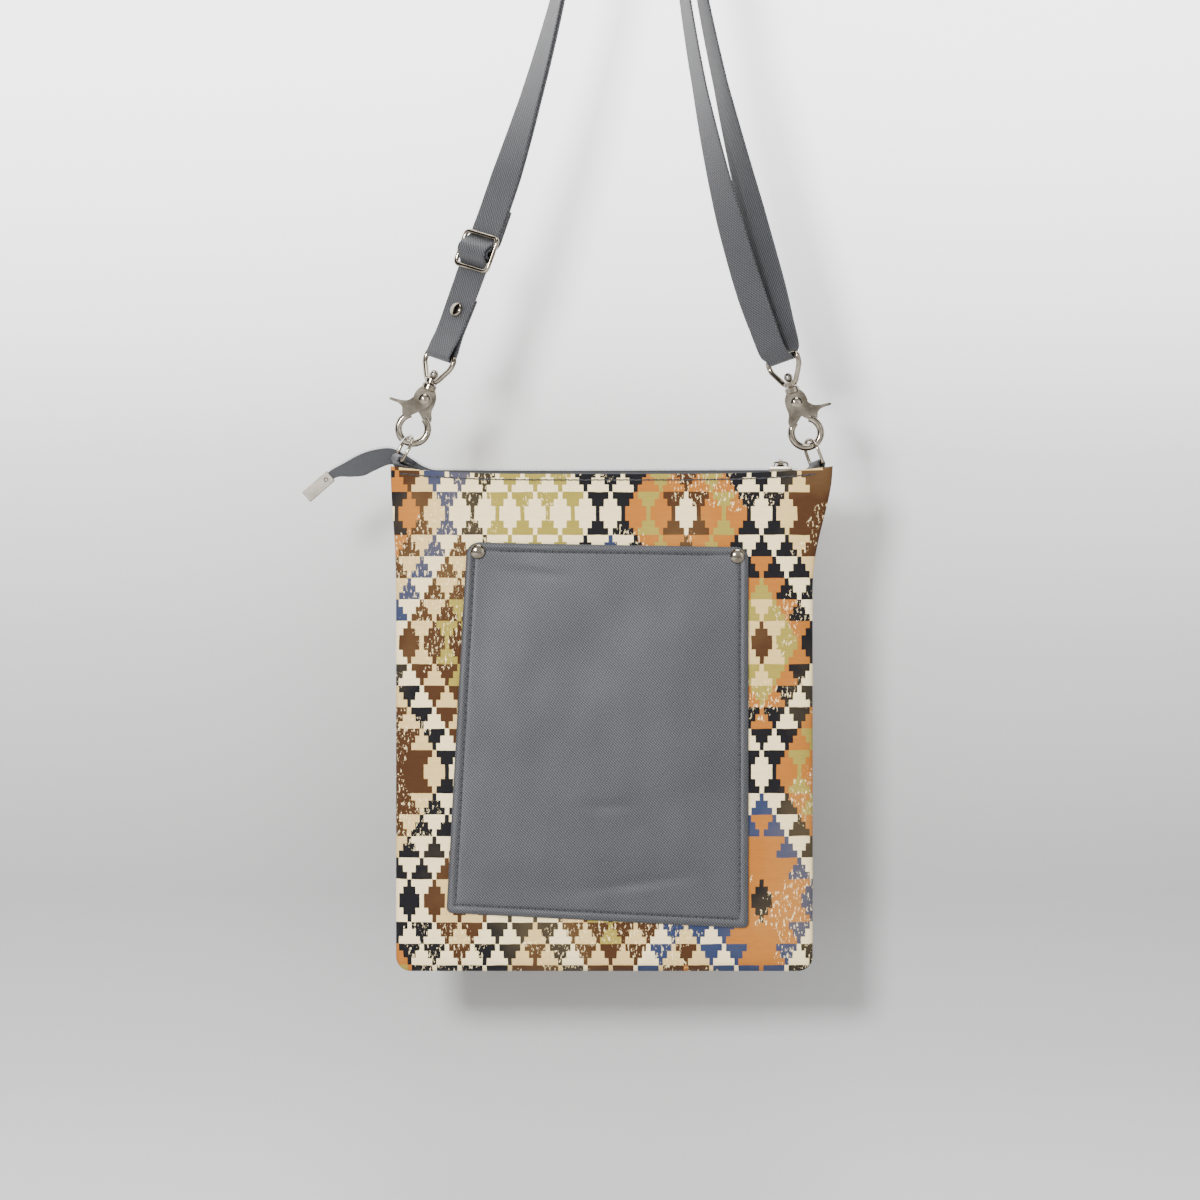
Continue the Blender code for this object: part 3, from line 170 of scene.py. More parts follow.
# Swivel hooks, measured up from the centre of the hook's ring
HOOK_RING_RADIUS = 0.00805
HOOK_SECTION_RADIUS = 0.0020
LEFT_CLIP_LEAN = math.radians(21)
RIGHT_CLIP_LEAN = math.radians(-17.8)
PIVOT_RISE = 0.0173
NECK_BOTTOM = 0.0224
NECK_TOP = 0.0264
NECK_RADIUS = 0.0041
PLATE_NEAR = 0.0007
PLATE_FAR = 0.0026
JAW_SPLIT = math.radians(290)
ARC_UPPER = math.radians(118)
PIVOT_SHANK_RADIUS = 0.0014
PIVOT_HEAD_RADIUS = 0.0030
PIVOT_HEAD_HEIGHT = 0.0011
SPRING_WIRE = 0.00035
SPRING_TURNS = 2.25
SPRING_STEPS = 40
PLATE_CORNER = 0.0022
PIN_BALL_STEPS = 18
PIN_RADIUS = 0.0019
PIN_BALL_RADIUS = 0.0025
PIN_END = 0.0236
EYE_WIRE = 0.0015
EYE_BOSS_RADIUS = 0.0036
EYE_BOSS_HEIGHT = 0.0028
EYE_BAR_RISE = 0.0435
EYE_SIDE_CLEARANCE = 0.0005
EYE_SHOULDER_DROP = 0.0055
EYE_YAW = math.radians(-48)

# Strap
WEBBING_WIDTH = 0.0200
WEBBING_THICKNESS = 0.0012
PLY_PITCH = 0.0016
HANGER_RADIUS = 0.0180
LEFT_HANDLE = 0.100
RIGHT_HANDLE = 0.100
TOP_HANDLE = 0.130
LEFT_TWIST = ((0.0, 48), (0.10, 39.2), (0.28, 39.2), (0.40, 57), (0.60, 75), (1.0, 90))
RIGHT_TWIST = ((0.0, 48), (0.10, 42), (0.22, 48), (0.42, 70), (0.60, 77), (1.0, 90))
RIGHT_LOOP_SPREAD = 0.0060
SPREAD_POWER = 0.45
SHORT_END = 0.0340
EYE_CLOSING = 0.0160
STRAP_RIVET_RISE = 0.0260
RUN_STEP = 0.0040
BUCKLE_RISE = 0.0600
BUCKLE_PITCH = 0.0096
BUCKLE_WIRE = 0.0013
BUCKLE_SIDE_CLEARANCE = 0.0006
BUCKLE_TAIL = 0.0260
HUMP_RADIUS = 0.0044
HANGER_STEPS = 40

RING_SIDES = 20
DOME_STEPS = 12
ROUND_STEPS = 40

# Derived places
TOP_Z = -STRAP_DROP
LEFT_X = BAG_CENTRE_X - BAG_WIDTH / 2 - FLARE_LEFT
RIGHT_X = BAG_CENTRE_X + BAG_WIDTH / 2 + FLARE_RIGHT
POCKET_BOTTOM = BAG_HEIGHT - POCKET_ABOVE_BOTTOM
RIDGE_Z = TOP_Z - RIDGE_BELOW_CORNER
WEB_CENTRE = WEBBING_THICKNESS / 2

# How much finer the arcs are here than in the solids, and where shading turns sharp
FINE = 3
SHARP_ANGLE = math.radians(40)
X_AXIS = Vector((1, 0, 0))
Y_AXIS = Vector((0, 1, 0))


def place_object(name, data):
    """A new object in the scene with the given mesh, light or camera."""
    obj = bpy.data.objects.new(name, data)
    bpy.context.collection.objects.link(obj)
    return obj


def shade(mesh):
    """Smooth shading, with sharp edges where faces meet steeply."""
    mesh.shade_smooth()
    mesh.set_sharp_from_angle(angle=SHARP_ANGLE)


def add_solid(name, bm, mat):
    """Closes a bmesh into a named piece, its mesh in the frame's own place."""
    bmesh.ops.recalc_face_normals(bm, faces=bm.faces)
    if bm.calc_volume(signed=True) < 0:
        bmesh.ops.reverse_faces(bm, faces=bm.faces)
    mesh = bpy.data.meshes.new(name)
    bm.to_mesh(mesh)
    bm.free()
    mesh.materials.append(mat)
    shade(mesh)
    return place_object(f"{name}_fine", mesh)


def combine(target, operation, *forms):
    """Unites or cuts the target with closed forms, which are used up."""
    for form in forms:
        other = add_solid("tool", form, target.data.materials[0])
        modifier = target.modifiers.new(operation.lower(), "BOOLEAN")
        modifier.operation = operation
        modifier.solver = "EXACT"
        modifier.object = other
        graph = bpy.context.evaluated_depsgraph_get()
        mesh = bpy.data.meshes.new_from_object(target.evaluated_get(graph))
        old = target.data
        target.modifiers.remove(modifier)
        target.data = mesh
        mesh.name = target.name
        bpy.data.meshes.remove(old)
        bpy.data.objects.remove(other, do_unlink=True)
    mesh = target.data
    while len(mesh.materials) > 1:
        mesh.materials.pop(index=len(mesh.materials) - 1)
    for face in mesh.polygons:
        face.material_index = 0
    shade(mesh)


def loft(sections, closed=False):
    """A bmesh through equal closed sections, joined end to end or capped."""
    bm = bmesh.new()
    rings = [[bm.verts.new(point) for point in section] for section in sections]
    count = len(rings[0])
    pairs = list(zip(rings, rings[1:]))
    if closed:
        pairs.append((rings[-1], rings[0]))
    for ring, following in pairs:
        for i in range(count):
            j = (i + 1) % count
            bm.faces.new((ring[i], ring[j], following[j], following[i]))
    if not closed:
        bm.faces.new(rings[0])
        bm.faces.new(list(reversed(rings[-1])))
    return bm


def ring_faces(bm, rows, steps):
    """Faces between successive rings, of which any may be a single point."""
    for low, high in zip(rows, rows[1:]):
        for k in range(steps):
            following = (k + 1) % steps
            corners = [low[k % len(low)], low[following % len(low)]]
            corners += [high[following % len(high)], high[k % len(high)]]
            bm.faces.new(list(dict.fromkeys(corners)))


def strip(bm, line, other):
    """Faces between two lines of as many corners."""
    for k in range(len(line) - 1):
        bm.faces.new((line[k], line[k + 1], other[k + 1], other[k]))


def turned(profile, frame, steps=ROUND_STEPS):
    """Turns (radius, height) points, which start and end on the axis, about local Z."""
    bm = bmesh.new()
    rows = []
    for radius, height in profile:
        if radius < 1e-7:
            rows.append([bm.verts.new(frame @ Vector((0, 0, height)))])
            continue
        angles = [math.tau * k / steps for k in range(steps)]
        points = [Vector((radius * math.cos(a), radius * math.sin(a), height)) for a in angles]
        rows.append([bm.verts.new(frame @ point) for point in points])
    ring_faces(bm, rows, steps)
    return bm


def cylinder(radius, low, high, frame, steps=ROUND_STEPS):
    return turned(((0, low), (radius, low), (radius, high), (0, high)), frame, steps)


def prism(outline, near, far, frame):
    """A plate: an outline in local X and Z, from near to far along local Y."""
    sections = [[frame @ Vector((x, y, z)) for x, z in outline] for y in (near, far)]
    return loft(sections)


def tube(points, radius, frame, closed, sides=RING_SIDES):
    """A round wire through points in the frame's XZ plane."""
    count = len(points)
    sections = []
    for k, (x, z) in enumerate(points):
        before = points[(k - 1) % count] if closed or k else points[k]
        after = points[(k + 1) % count] if closed or k < count - 1 else points[k]
        along = Vector((after[0] - before[0], 0, after[1] - before[1])).normalized()
        side = Vector((along.z, 0, -along.x))
        ring = []
        for i in range(sides):
            angle = math.tau * (i + 0.5) / sides
            offset = side * math.cos(angle) + Y_AXIS * math.sin(angle)
            ring.append(frame @ (Vector((x, 0, z)) + offset * radius))
        sections.append(ring)
    return loft(sections, closed)


def arc(centre, radius, start, end, steps):
    """Points of an arc; angles run from local X towards local Z."""
    steps = steps * FINE
    angles = [start + (end - start) * k / steps for k in range(steps + 1)]
    return [(centre[0] + radius * math.cos(a), centre[1] + radius * math.sin(a)) for a in angles]


def rounded_path(corners, radius, steps=9):
    """A closed outline with each corner replaced by a short curve."""
    points = []
    count = len(corners)
    for k, corner in enumerate(corners):
        here = Vector(corner)
        before = Vector(corners[k - 1])
        after = Vector(corners[(k + 1) % count])
        cut = min(radius, (before - here).length * 0.45, (after - here).length * 0.45)
        start = here + (before - here).normalized() * cut
        end = here + (after - here).normalized() * cut
        for i in range(steps + 1):
            t = i / steps
            points.append(tuple(start * (1 - t) ** 2 + here * 2 * t * (1 - t) + end * t**2))
    return points


def axes_frame(place, x_axis, y_axis, z_axis):
    """A frame at a place, from its three unit axes."""
    return Matrix.Translation(place) @ Matrix((x_axis, y_axis, z_axis)).transposed().to_4x4()


def path_lengths(points):
    """How far along the path each of its points lies."""
    lengths = [0.0]
    for here, following in zip(points, points[1:]):
        lengths.append(lengths[-1] + (following - here).length)
    return lengths


def path_point(points, lengths, place):
    """The point at a length along the path."""
    return Vector([float(np.interp(place, lengths, [p[i] for p in points])) for i in range(3)])


# The bag's form

def smooth_step(value):
    value = min(max(value, 0.0), 1.0)
    return value * value * (3 - 2 * value)


def half_width(drop, side):
    """Half the bag's width at a distance below the top corners."""
    flare = FLARE_LEFT if side < 0 else FLARE_RIGHT
    width = BAG_WIDTH / 2 + flare * (1 - smooth_step(drop / FLARE_HEIGHT)) ** 1.3
    into_corner = drop - (BAG_HEIGHT - CORNER_RADIUS)
    if into_corner > 0:
        share = min(into_corner / CORNER_RADIUS, 1.0)
        width -= CORNER_RADIUS * (1 - math.sqrt(1 - share * share))
    return width


def half_depth(drop):
    """Half the bag's depth at its middle, at a distance below the top corners."""
    share = drop / BAG_HEIGHT
    if share < 0.5:
        depth = TOP_HALF_DEPTH + (MIDDLE_HALF_DEPTH - TOP_HALF_DEPTH) * smooth_step(share / 0.5)
    else:
        fall = smooth_step((share - 0.5) / 0.5)
        depth = MIDDLE_HALF_DEPTH + (BOTTOM_HALF_DEPTH - MIDDLE_HALF_DEPTH) * fall
    into_bottom = drop - (BAG_HEIGHT - BOTTOM_ROUNDING)
    if into_bottom > 0:
        share = min(into_bottom / BOTTOM_ROUNDING, 1.0)
        depth *= math.sqrt(1 - share * share)
    return depth


def squareness(drop):
    share = smooth_step(drop / (BAG_HEIGHT * 0.4))
    return TOP_SQUARENESS + (MIDDLE_SQUARENESS - TOP_SQUARENESS) * share


def mouth_dip(x, drop):
    """How far the fabric sags below the straight line between its top corners."""
    half = half_width(drop, x - BAG_CENTRE_X)
    across = min(abs(x - BAG_CENTRE_X) / half, 1.0)
    return MOUTH_DIP * (1 - across**4) * (1 - smooth_step(drop / DIP_HEIGHT))


def front_depth(x, drop):
    """The outer surface's distance from the seam plane."""
    half = half_width(drop, x - BAG_CENTRE_X)
    power = squareness(drop)
    across = min(abs(x - BAG_CENTRE_X) / half, 1.0)
    return half_depth(drop) * (1 - across**power) ** (1 / power)


def pocket_edges(share):
    """The pocket's left and right edge at a share of its height, from the bag's centre line."""
    left = POCKET_LEFT_TOP + (POCKET_LEFT_BOTTOM - POCKET_LEFT_TOP) * share
    return left, POCKET_RIGHT


def rivet_frame(side):
    """Local Z points out of the bag at the rivet, from the panel's outer surface."""
    left, right = pocket_edges(0.0)
    across = left + POCKET_RIVET_INSET_X if side < 0 else right - POCKET_RIVET_INSET_X
    x = BAG_CENTRE_X + across
    drop = POCKET_TOP + POCKET_RIVET_INSET_Z + POCKET_TOP_SLOPE * (0.0 if side < 0 else 1.0)
    y = -(SEAT_GAP / 2 + front_depth(x, drop))
    z = TOP_Z - drop - mouth_dip(x, drop)
    return Matrix.Translation((x, y, z)) @ Matrix.Rotation(math.pi / 2, 4, "X")


def dome(radius, base, height):
    """Profile points of a low dome from its rim to its middle."""
    points = []
    for k in range(DOME_STEPS + 1):
        angle = math.pi / 2 * k / DOME_STEPS
        points.append((radius * math.cos(angle), base + height * math.sin(angle)))
    points[-1] = (0, base + height)
    return points


def tape_spread():
    return TOP_HALF_DEPTH - WALL - SEAT_GAP


def cap_frame():
    """Local X runs along the end cap away from the bag, local Z across its width."""
    along = Vector((-math.cos(CAP_SLOPE), 0, -math.sin(CAP_SLOPE)))
    across = Vector((-math.sin(CAP_SLOPE), 0, math.cos(CAP_SLOPE)))
    depth = across.cross(along)
    return axes_frame(Vector((LEFT_X - CAP_OUT, 0, TOP_Z - CAP_FALL)), along, depth, across)


def tape_stations():
    """Ridge point, drop, outer spread and lean of the drop, from the cap to the zip's right end."""
    frame = cap_frame()
    inner = CAP_WIDTH - 2 * CAP_WALL - 2 * SEAT_GAP
    end = frame @ Vector((CAP_INSERT, 0, inner / 2))
    mouth = frame @ Vector((-0.0015, 0, inner / 2))
    slim = COIL_HALF - 0.0001
    ring_back = LEFT_CHAIN_Y + RING_WIDTH / 2 * abs(math.sin(LEFT_RING_YAW)) + RING_WIRE
    slim_tail = 0.00115
    behind = ring_back + RUN_GAP + slim_tail

    def at(from_corner, rise, y):
        return Vector((LEFT_X + from_corner, y, TOP_Z + rise))

    straight_left = Vector((LEFT_X + ZIP_LEFT_INSET, 0, RIDGE_Z))
    straight_right = Vector((RIGHT_X - ZIP_RIGHT_INSET, 0, RIDGE_Z))
    lean = CAP_SLOPE
    return [
        (end, inner, slim, lean),
        (mouth, inner, slim, lean),
        (at(-0.0265, 0.0018, 0.0010), 0.0085, 0.0013, math.radians(27)),
        (at(-0.0170, 0.0070, 0.0022), 0.0122, 0.0017, math.radians(10)),
        (at(-0.0090, 0.0096, 0.0036), 0.0118, 0.0015, 0.0),
        (at(0.0000, 0.0104, behind), 0.0092, slim_tail, 0.0),
        (at(0.0065, 0.0076, behind), 0.0092, slim_tail, 0.0),
        (at(0.0128, 0.0036, behind * 0.85), 0.0092, 0.0020, 0.0),
        (at(0.0175, 0.0006, behind * 0.35), TAPE_DROP, tape_spread() - 0.0020, 0.0),
        (straight_left, TAPE_DROP, tape_spread(), 0.0),
        (straight_right, TAPE_DROP, tape_spread(), 0.0),
    ]


def slider_place():
    return Vector((RIGHT_X - ZIP_RIGHT_INSET - SLIDER_FROM_END, 0, RIDGE_Z))


def make_slider(metal):
    """The zip's slider: a saddle over the two coils with a bridge on top."""
    place = slider_place()
    half = SLIDER_LENGTH / 2
    top = RUN_GAP + SLIDER_TOP
    section = [
        (-SLIDER_HALF_WIDTH, -SLIDER_SKIRT),
        (-SLIDER_INNER_HALF, -SLIDER_SKIRT),
        (-SLIDER_INNER_HALF + 0.0004, RUN_GAP),
        (SLIDER_INNER_HALF - 0.0004, RUN_GAP),
        (SLIDER_INNER_HALF, -SLIDER_SKIRT),
        (SLIDER_HALF_WIDTH, -SLIDER_SKIRT),
        (SLIDER_HALF_WIDTH, top - 0.0012),
        (SLIDER_HALF_WIDTH - 0.0010, top),
        (-SLIDER_HALF_WIDTH + 0.0010, top),
        (-SLIDER_HALF_WIDTH, top - 0.0012),
    ]
    taper = ((-half, 0.78), (-half * 0.6, 1.0), (half * 0.6, 1.0), (half, 0.84))
    sections = []
    for along, share in taper:
        widths = [(y if abs(y) <= SLIDER_INNER_HALF else math.copysign(
            SLIDER_INNER_HALF + (abs(y) - SLIDER_INNER_HALF) * share, y), z) for y, z in section]
        sections.append([place + Vector((along, y, z)) for y, z in widths])
    body = add_solid("zip_slider", loft(sections), metal)
    bridge_z = bridge_height()
    reach = BRIDGE_LENGTH / 2
    path = [(-reach - 0.0006, top - 0.0006), (-reach, bridge_z - 0.0006), (-reach + 0.0009, bridge_z)]
    path += [(reach - 0.0009, bridge_z), (reach, bridge_z - 0.0006), (reach + 0.0006, top - 0.0006)]
    combine(body, "UNION", tube(path, BRIDGE_RADIUS, Matrix.Translation(place), False, 8))
    return body


def bridge_height():
    return RUN_GAP + SLIDER_TOP + BRIDGE_RISE


def make_pull(metal):
    """The zip's pull: a flat tongue whose eye is round the slider's bridge."""
    pivot = slider_place() + Vector((0, 0, bridge_height()))
    out = Vector((0, math.sin(PULL_REST_ANGLE), math.cos(PULL_REST_ANGLE)))
    thick = out.cross(X_AXIS)
    frame = axes_frame(pivot, X_AXIS, thick, out)
    ring_frame = axes_frame(pivot, out, X_AXIS, thick * -1)
    eye_radius = BRIDGE_RADIUS + RUN_GAP
    loop = arc((0, 0), eye_radius + PULL_EYE_WALL, 0, math.tau, 12)[:-1]
    pull = add_solid("zip_pull", prism(loop, -PULL_EYE_HALF, PULL_EYE_HALF, ring_frame), metal)
    foot = eye_radius + PULL_EYE_WALL * 0.4
    half = PULL_WIDTH / 2
    right = [(PULL_EYE_HALF, foot), (half, PULL_EYE + 0.003), (half + 0.0004, PULL_LENGTH - 0.0025),
             (half - 0.0012, PULL_LENGTH)]
    stem = [(-PULL_EYE_HALF, foot)] + right + [(-x, z) for x, z in reversed(right[1:])]
    combine(pull, "UNION", prism(stem, -PULL_THICKNESS / 2, PULL_THICKNESS / 2, frame))
    bore_frame = ring_frame @ Matrix.Rotation(math.pi / 2, 4, "X")
    combine(pull, "DIFFERENCE", cylinder(eye_radius, -BORE_REACH, BORE_REACH, bore_frame, 12))
    return pull


# The chain at each side: tab, D-ring, hook, eye

def leaning(lean):
    """Unit vectors up along a lean and across it, in the XZ plane."""
    up = Vector((math.sin(lean), 0, math.cos(lean)))
    across = Vector((math.cos(lean), 0, -math.sin(lean)))
    return up, across


def turned_frame(place, lean, yaw):
    """Local Z up along the lean, local X across it and turned by the yaw."""
    up, across = leaning(lean)
    x_axis = across * math.cos(yaw) + Y_AXIS * math.sin(yaw)
    return axes_frame(place, x_axis, up.cross(x_axis), up)


def side_values(word):
    """Places and leans of one side's chain, from the bag's corner up to the eye's bar."""
    if word == "left":
        bar = Vector((LEFT_X + LEFT_BAR_INSET, LEFT_CHAIN_Y, TOP_Z + LEFT_BAR_RISE))
        root = Vector((LEFT_X + LEFT_TAB_INSET, -TAB_ROOT_Y, TOP_Z - TAB_DEPTH))
        ring_lean, ring_yaw, clip_lean, turn = LEFT_RING_LEAN, LEFT_RING_YAW, LEFT_CLIP_LEAN, math.pi
    else:
        bar = Vector((RIGHT_X - RIGHT_BAR_INSET, 0, TOP_Z + RIGHT_BAR_RISE))
        root = Vector((RIGHT_X - RIGHT_TAB_INSET, 0, TOP_Z - TAB_DEPTH))
        ring_lean, ring_yaw, clip_lean, turn = RIGHT_RING_LEAN, RIGHT_RING_YAW, RIGHT_CLIP_LEAN, 0.0
    ring_up, _ = leaning(ring_lean)
    clip_up, _ = leaning(clip_lean)
    contact = bar + ring_up * (RING_HEIGHT - RING_WIRE - HOOK_SECTION_RADIUS - HOOK_PLAY)
    ring_centre = contact + clip_up * HOOK_RING_RADIUS
    return {"bar": bar, "root": root, "ring_frame": turned_frame(bar, ring_lean, ring_yaw),
            "clip_lean": clip_lean, "turn": turn, "ring_centre": ring_centre,
            "eye_bar": ring_centre + clip_up * EYE_BAR_RISE}


def hook_frame(word):
    """The hook's frame: Z up its middle from the centre of its ring."""
    values = side_values(word)
    frame = turned_frame(values["ring_centre"], values["clip_lean"], 0.0)
    return frame @ Matrix.Rotation(values["turn"], 4, "Z")


def make_tab(word, mat):
    """A short webbing tab, folded round the D-ring's bar, its ends between the panels."""
    values = side_values(word)
    bar = values["bar"]
    root = values["root"]
    bar_x = values["ring_frame"].to_3x3() @ X_AXIS
    fold = RING_WIRE + SEAT_GAP + TAB_PLY / 2
    pitch = TAB_PLY + SEAT_GAP
    up = (bar - root).normalized()
    bar_up = (up - bar_x * up.dot(bar_x)).normalized()
    rises = [TAB_PLAIN * k / 4 for k in range(4)]
    rises += [TAB_PLAIN + (1 - TAB_PLAIN) * k / 24 for k in range(25)]

    def ply(side):
        stations = []
        for rise in rises:
            turn = smooth_step((rise - TAB_TWIST_START) / (1 - TAB_TWIST_START))
            shift = smooth_step((rise - TAB_SHIFT_START) / (1 - TAB_SHIFT_START))
            wide = (X_AXIS * (1 - turn) + bar_x * turn).normalized()
            normal = up.cross(wide).normalized()
            away = pitch / 2 + (fold - pitch / 2) * smooth_step((rise - 0.5) / 0.5)
            middle = root + (bar - root) * shift
            middle.z = root.z + (bar.z - root.z) * rise
            stations.append((middle + normal * (side * away), wide, normal * side))
        return stations

    normal = bar_up.cross(bar_x).normalized()
    bend = []
    for k in range(1, TAB_FOLD_STEPS):
        angle = math.pi * k / TAB_FOLD_STEPS
        out = normal * math.cos(angle) + bar_up * math.sin(angle)
        bend.append((bar + out * fold, bar_x, out))
    band(f"ring_tab_{word}", ply(1) + bend + list(reversed(ply(-1))), TAB_WIDTH, TAB_PLY, mat)


def make_d_ring(word, metal):
    half = RING_WIDTH / 2
    corner = 0.0014
    foot = [(-half, corner), (-half + corner * 0.3, corner * 0.3), (-half + corner, 0)]
    path = arc((0, RING_HEIGHT - half), half, 0, math.pi, 12) + foot + [(-x, z) for x, z in reversed(foot)]
    add_solid(f"d_ring_{word}", tube(path, RING_WIRE, side_values(word)["ring_frame"], True), metal)


BODY_OUTLINE = (
    (0.0034, 0.0246), (0.0058, 0.0208), (0.0064, 0.0173), (0.0054, 0.0136), (0.0016, 0.0104),
    (-0.0016, 0.0078), (-0.0044, 0.0052), (-0.0078, 0.0052), (-0.0078, 0.0086), (-0.0060, 0.0118),
    (-0.0064, 0.0173), (-0.0058, 0.0208), (-0.0034, 0.0246),
)
JAW_OUTLINE = (
    (-0.0042, 0.0193), (-0.0024, 0.0213), (0.0, 0.0218), (0.0030, 0.0210), (0.0050, 0.0186),
    (0.0064, 0.0156), (0.0086, 0.0133), (0.0125, 0.0122), (0.0176, 0.0118), (0.0184, 0.0110),
    (0.0176, 0.0103), (0.0125, 0.0104), (0.0098, 0.0092), (0.0085, 0.0052), (0.0056, 0.0042),
    (0.0036, 0.0064), (0.0008, 0.0092), (-0.0028, 0.0132), (-0.0046, 0.0164),
)


def make_hook(word, metal, steel):
    """The hook's fixed body, its jaw on a pivot rivet, the jaw's spring and the swivel pin."""
    frame = hook_frame(word)
    pivot = frame @ Matrix.Translation((0, 0, PIVOT_RISE))
    across_y = pivot @ Matrix.Rotation(math.pi / 2, 4, "X")

    def plate(outline, near, far):
        return prism(rounded_path(outline, PLATE_CORNER, 6), near, far, frame)

    def bow(start, end, steps):
        return tube(arc((0, 0), HOOK_RING_RADIUS, start, end, steps), HOOK_SECTION_RADIUS, frame, False)

    def pivot_hole():
        return cylinder(PIVOT_SHANK_RADIUS + SEAT_GAP, -BORE_REACH, BORE_REACH, across_y)

    body = add_solid(f"hook_body_{word}", plate(BODY_OUTLINE, -PLATE_FAR, -PLATE_NEAR), metal)
    neck = [(0, NECK_BOTTOM), (NECK_RADIUS * 0.8, NECK_BOTTOM), (NECK_RADIUS, NECK_BOTTOM + 0.0008)]
    neck += [(NECK_RADIUS, NECK_TOP - 0.0007), (NECK_RADIUS * 0.8, NECK_TOP), (0, NECK_TOP)]
    combine(body, "UNION", bow(ARC_UPPER, JAW_SPLIT, 14), turned(neck, frame))
    bore = cylinder(PIN_RADIUS + SEAT_GAP, PIN_END - SEAT_GAP, NECK_TOP + 0.002, frame)
    combine(body, "DIFFERENCE", bore, pivot_hole())

    jaw = add_solid(f"hook_jaw_{word}", plate(list(reversed(JAW_OUTLINE)), PLATE_NEAR, PLATE_FAR), metal)
    start = JAW_SPLIT + 2 * SEAT_GAP / HOOK_RING_RADIUS
    combine(jaw, "UNION", bow(start, math.tau + math.pi - ARC_UPPER, 10))
    combine(jaw, "DIFFERENCE", pivot_hole())

    face = PLATE_FAR + SEAT_GAP
    rivet = [(0, -face - PIVOT_HEAD_HEIGHT), (PIVOT_HEAD_RADIUS * 0.7, -face - PIVOT_HEAD_HEIGHT * 0.8)]
    rivet += [(PIVOT_HEAD_RADIUS, -face), (PIVOT_SHANK_RADIUS, -face)]
    rivet += [(radius, -height) for radius, height in reversed(rivet)]
    add_solid(f"pivot_rivet_{word}", turned(rivet, across_y), metal)

    inner = PIVOT_SHANK_RADIUS + SEAT_GAP + SPRING_WIRE
    growth = 2 * SPRING_WIRE + SEAT_GAP
    spiral = []
    for k in range(int(SPRING_TURNS * SPRING_STEPS) + 1):
        angle = math.tau * k / SPRING_STEPS
        radius = inner + growth * angle / math.tau
        spiral.append((radius * math.cos(angle), radius * math.sin(angle)))
    add_solid(f"jaw_spring_{word}", tube(spiral, SPRING_WIRE, pivot, False, 12), steel)

    ball_z = NECK_TOP + SEAT_GAP + EYE_BOSS_HEIGHT + SEAT_GAP + PIN_BALL_RADIUS * 0.85
    pin = [(0, PIN_END), (PIN_RADIUS, PIN_END)]
    start = math.asin(PIN_RADIUS / PIN_BALL_RADIUS)
    for k in range(PIN_BALL_STEPS + 1):
        angle = start + (math.pi - start) * k / PIN_BALL_STEPS
        pin.append((PIN_BALL_RADIUS * math.sin(angle), ball_z - PIN_BALL_RADIUS * math.cos(angle)))
    pin[-1] = (0, ball_z + PIN_BALL_RADIUS)
    add_solid(f"swivel_pin_{word}", turned(pin, frame), steel)


def make_eye(word, metal):
    """The hook's eye: a wire frame with a boss round the swivel pin."""
    values = side_values(word)
    frame = turned_frame(values["ring_centre"], values["clip_lean"], EYE_YAW)
    half = WEBBING_WIDTH / 2 + EYE_SIDE_CLEARANCE + EYE_WIRE
    boss_low = NECK_TOP + SEAT_GAP
    boss_high = boss_low + EYE_BOSS_HEIGHT
    base = (boss_low + boss_high) / 2
    shoulder = EYE_BAR_RISE - EYE_SHOULDER_DROP
    foot = EYE_BOSS_RADIUS + 0.0006
    corners = [(half, EYE_BAR_RISE), (-half, EYE_BAR_RISE), (-half, shoulder), (-foot, base), (foot, base),
               (half, shoulder)]
    path = rounded_path(corners, 0.0024)
    eye = add_solid(f"clip_eye_{word}", tube(path, EYE_WIRE, frame, True), metal)
    boss = [(0, boss_low), (EYE_BOSS_RADIUS, boss_low), (EYE_BOSS_RADIUS, boss_high - 0.0005)]
    boss += [(EYE_BOSS_RADIUS - 0.0005, boss_high), (0, boss_high)]
    combine(eye, "UNION", turned(boss, frame))
    combine(eye, "DIFFERENCE", cylinder(PIN_RADIUS + SEAT_GAP, boss_low - 0.003, boss_high + 0.003, frame))


# The strap's curves

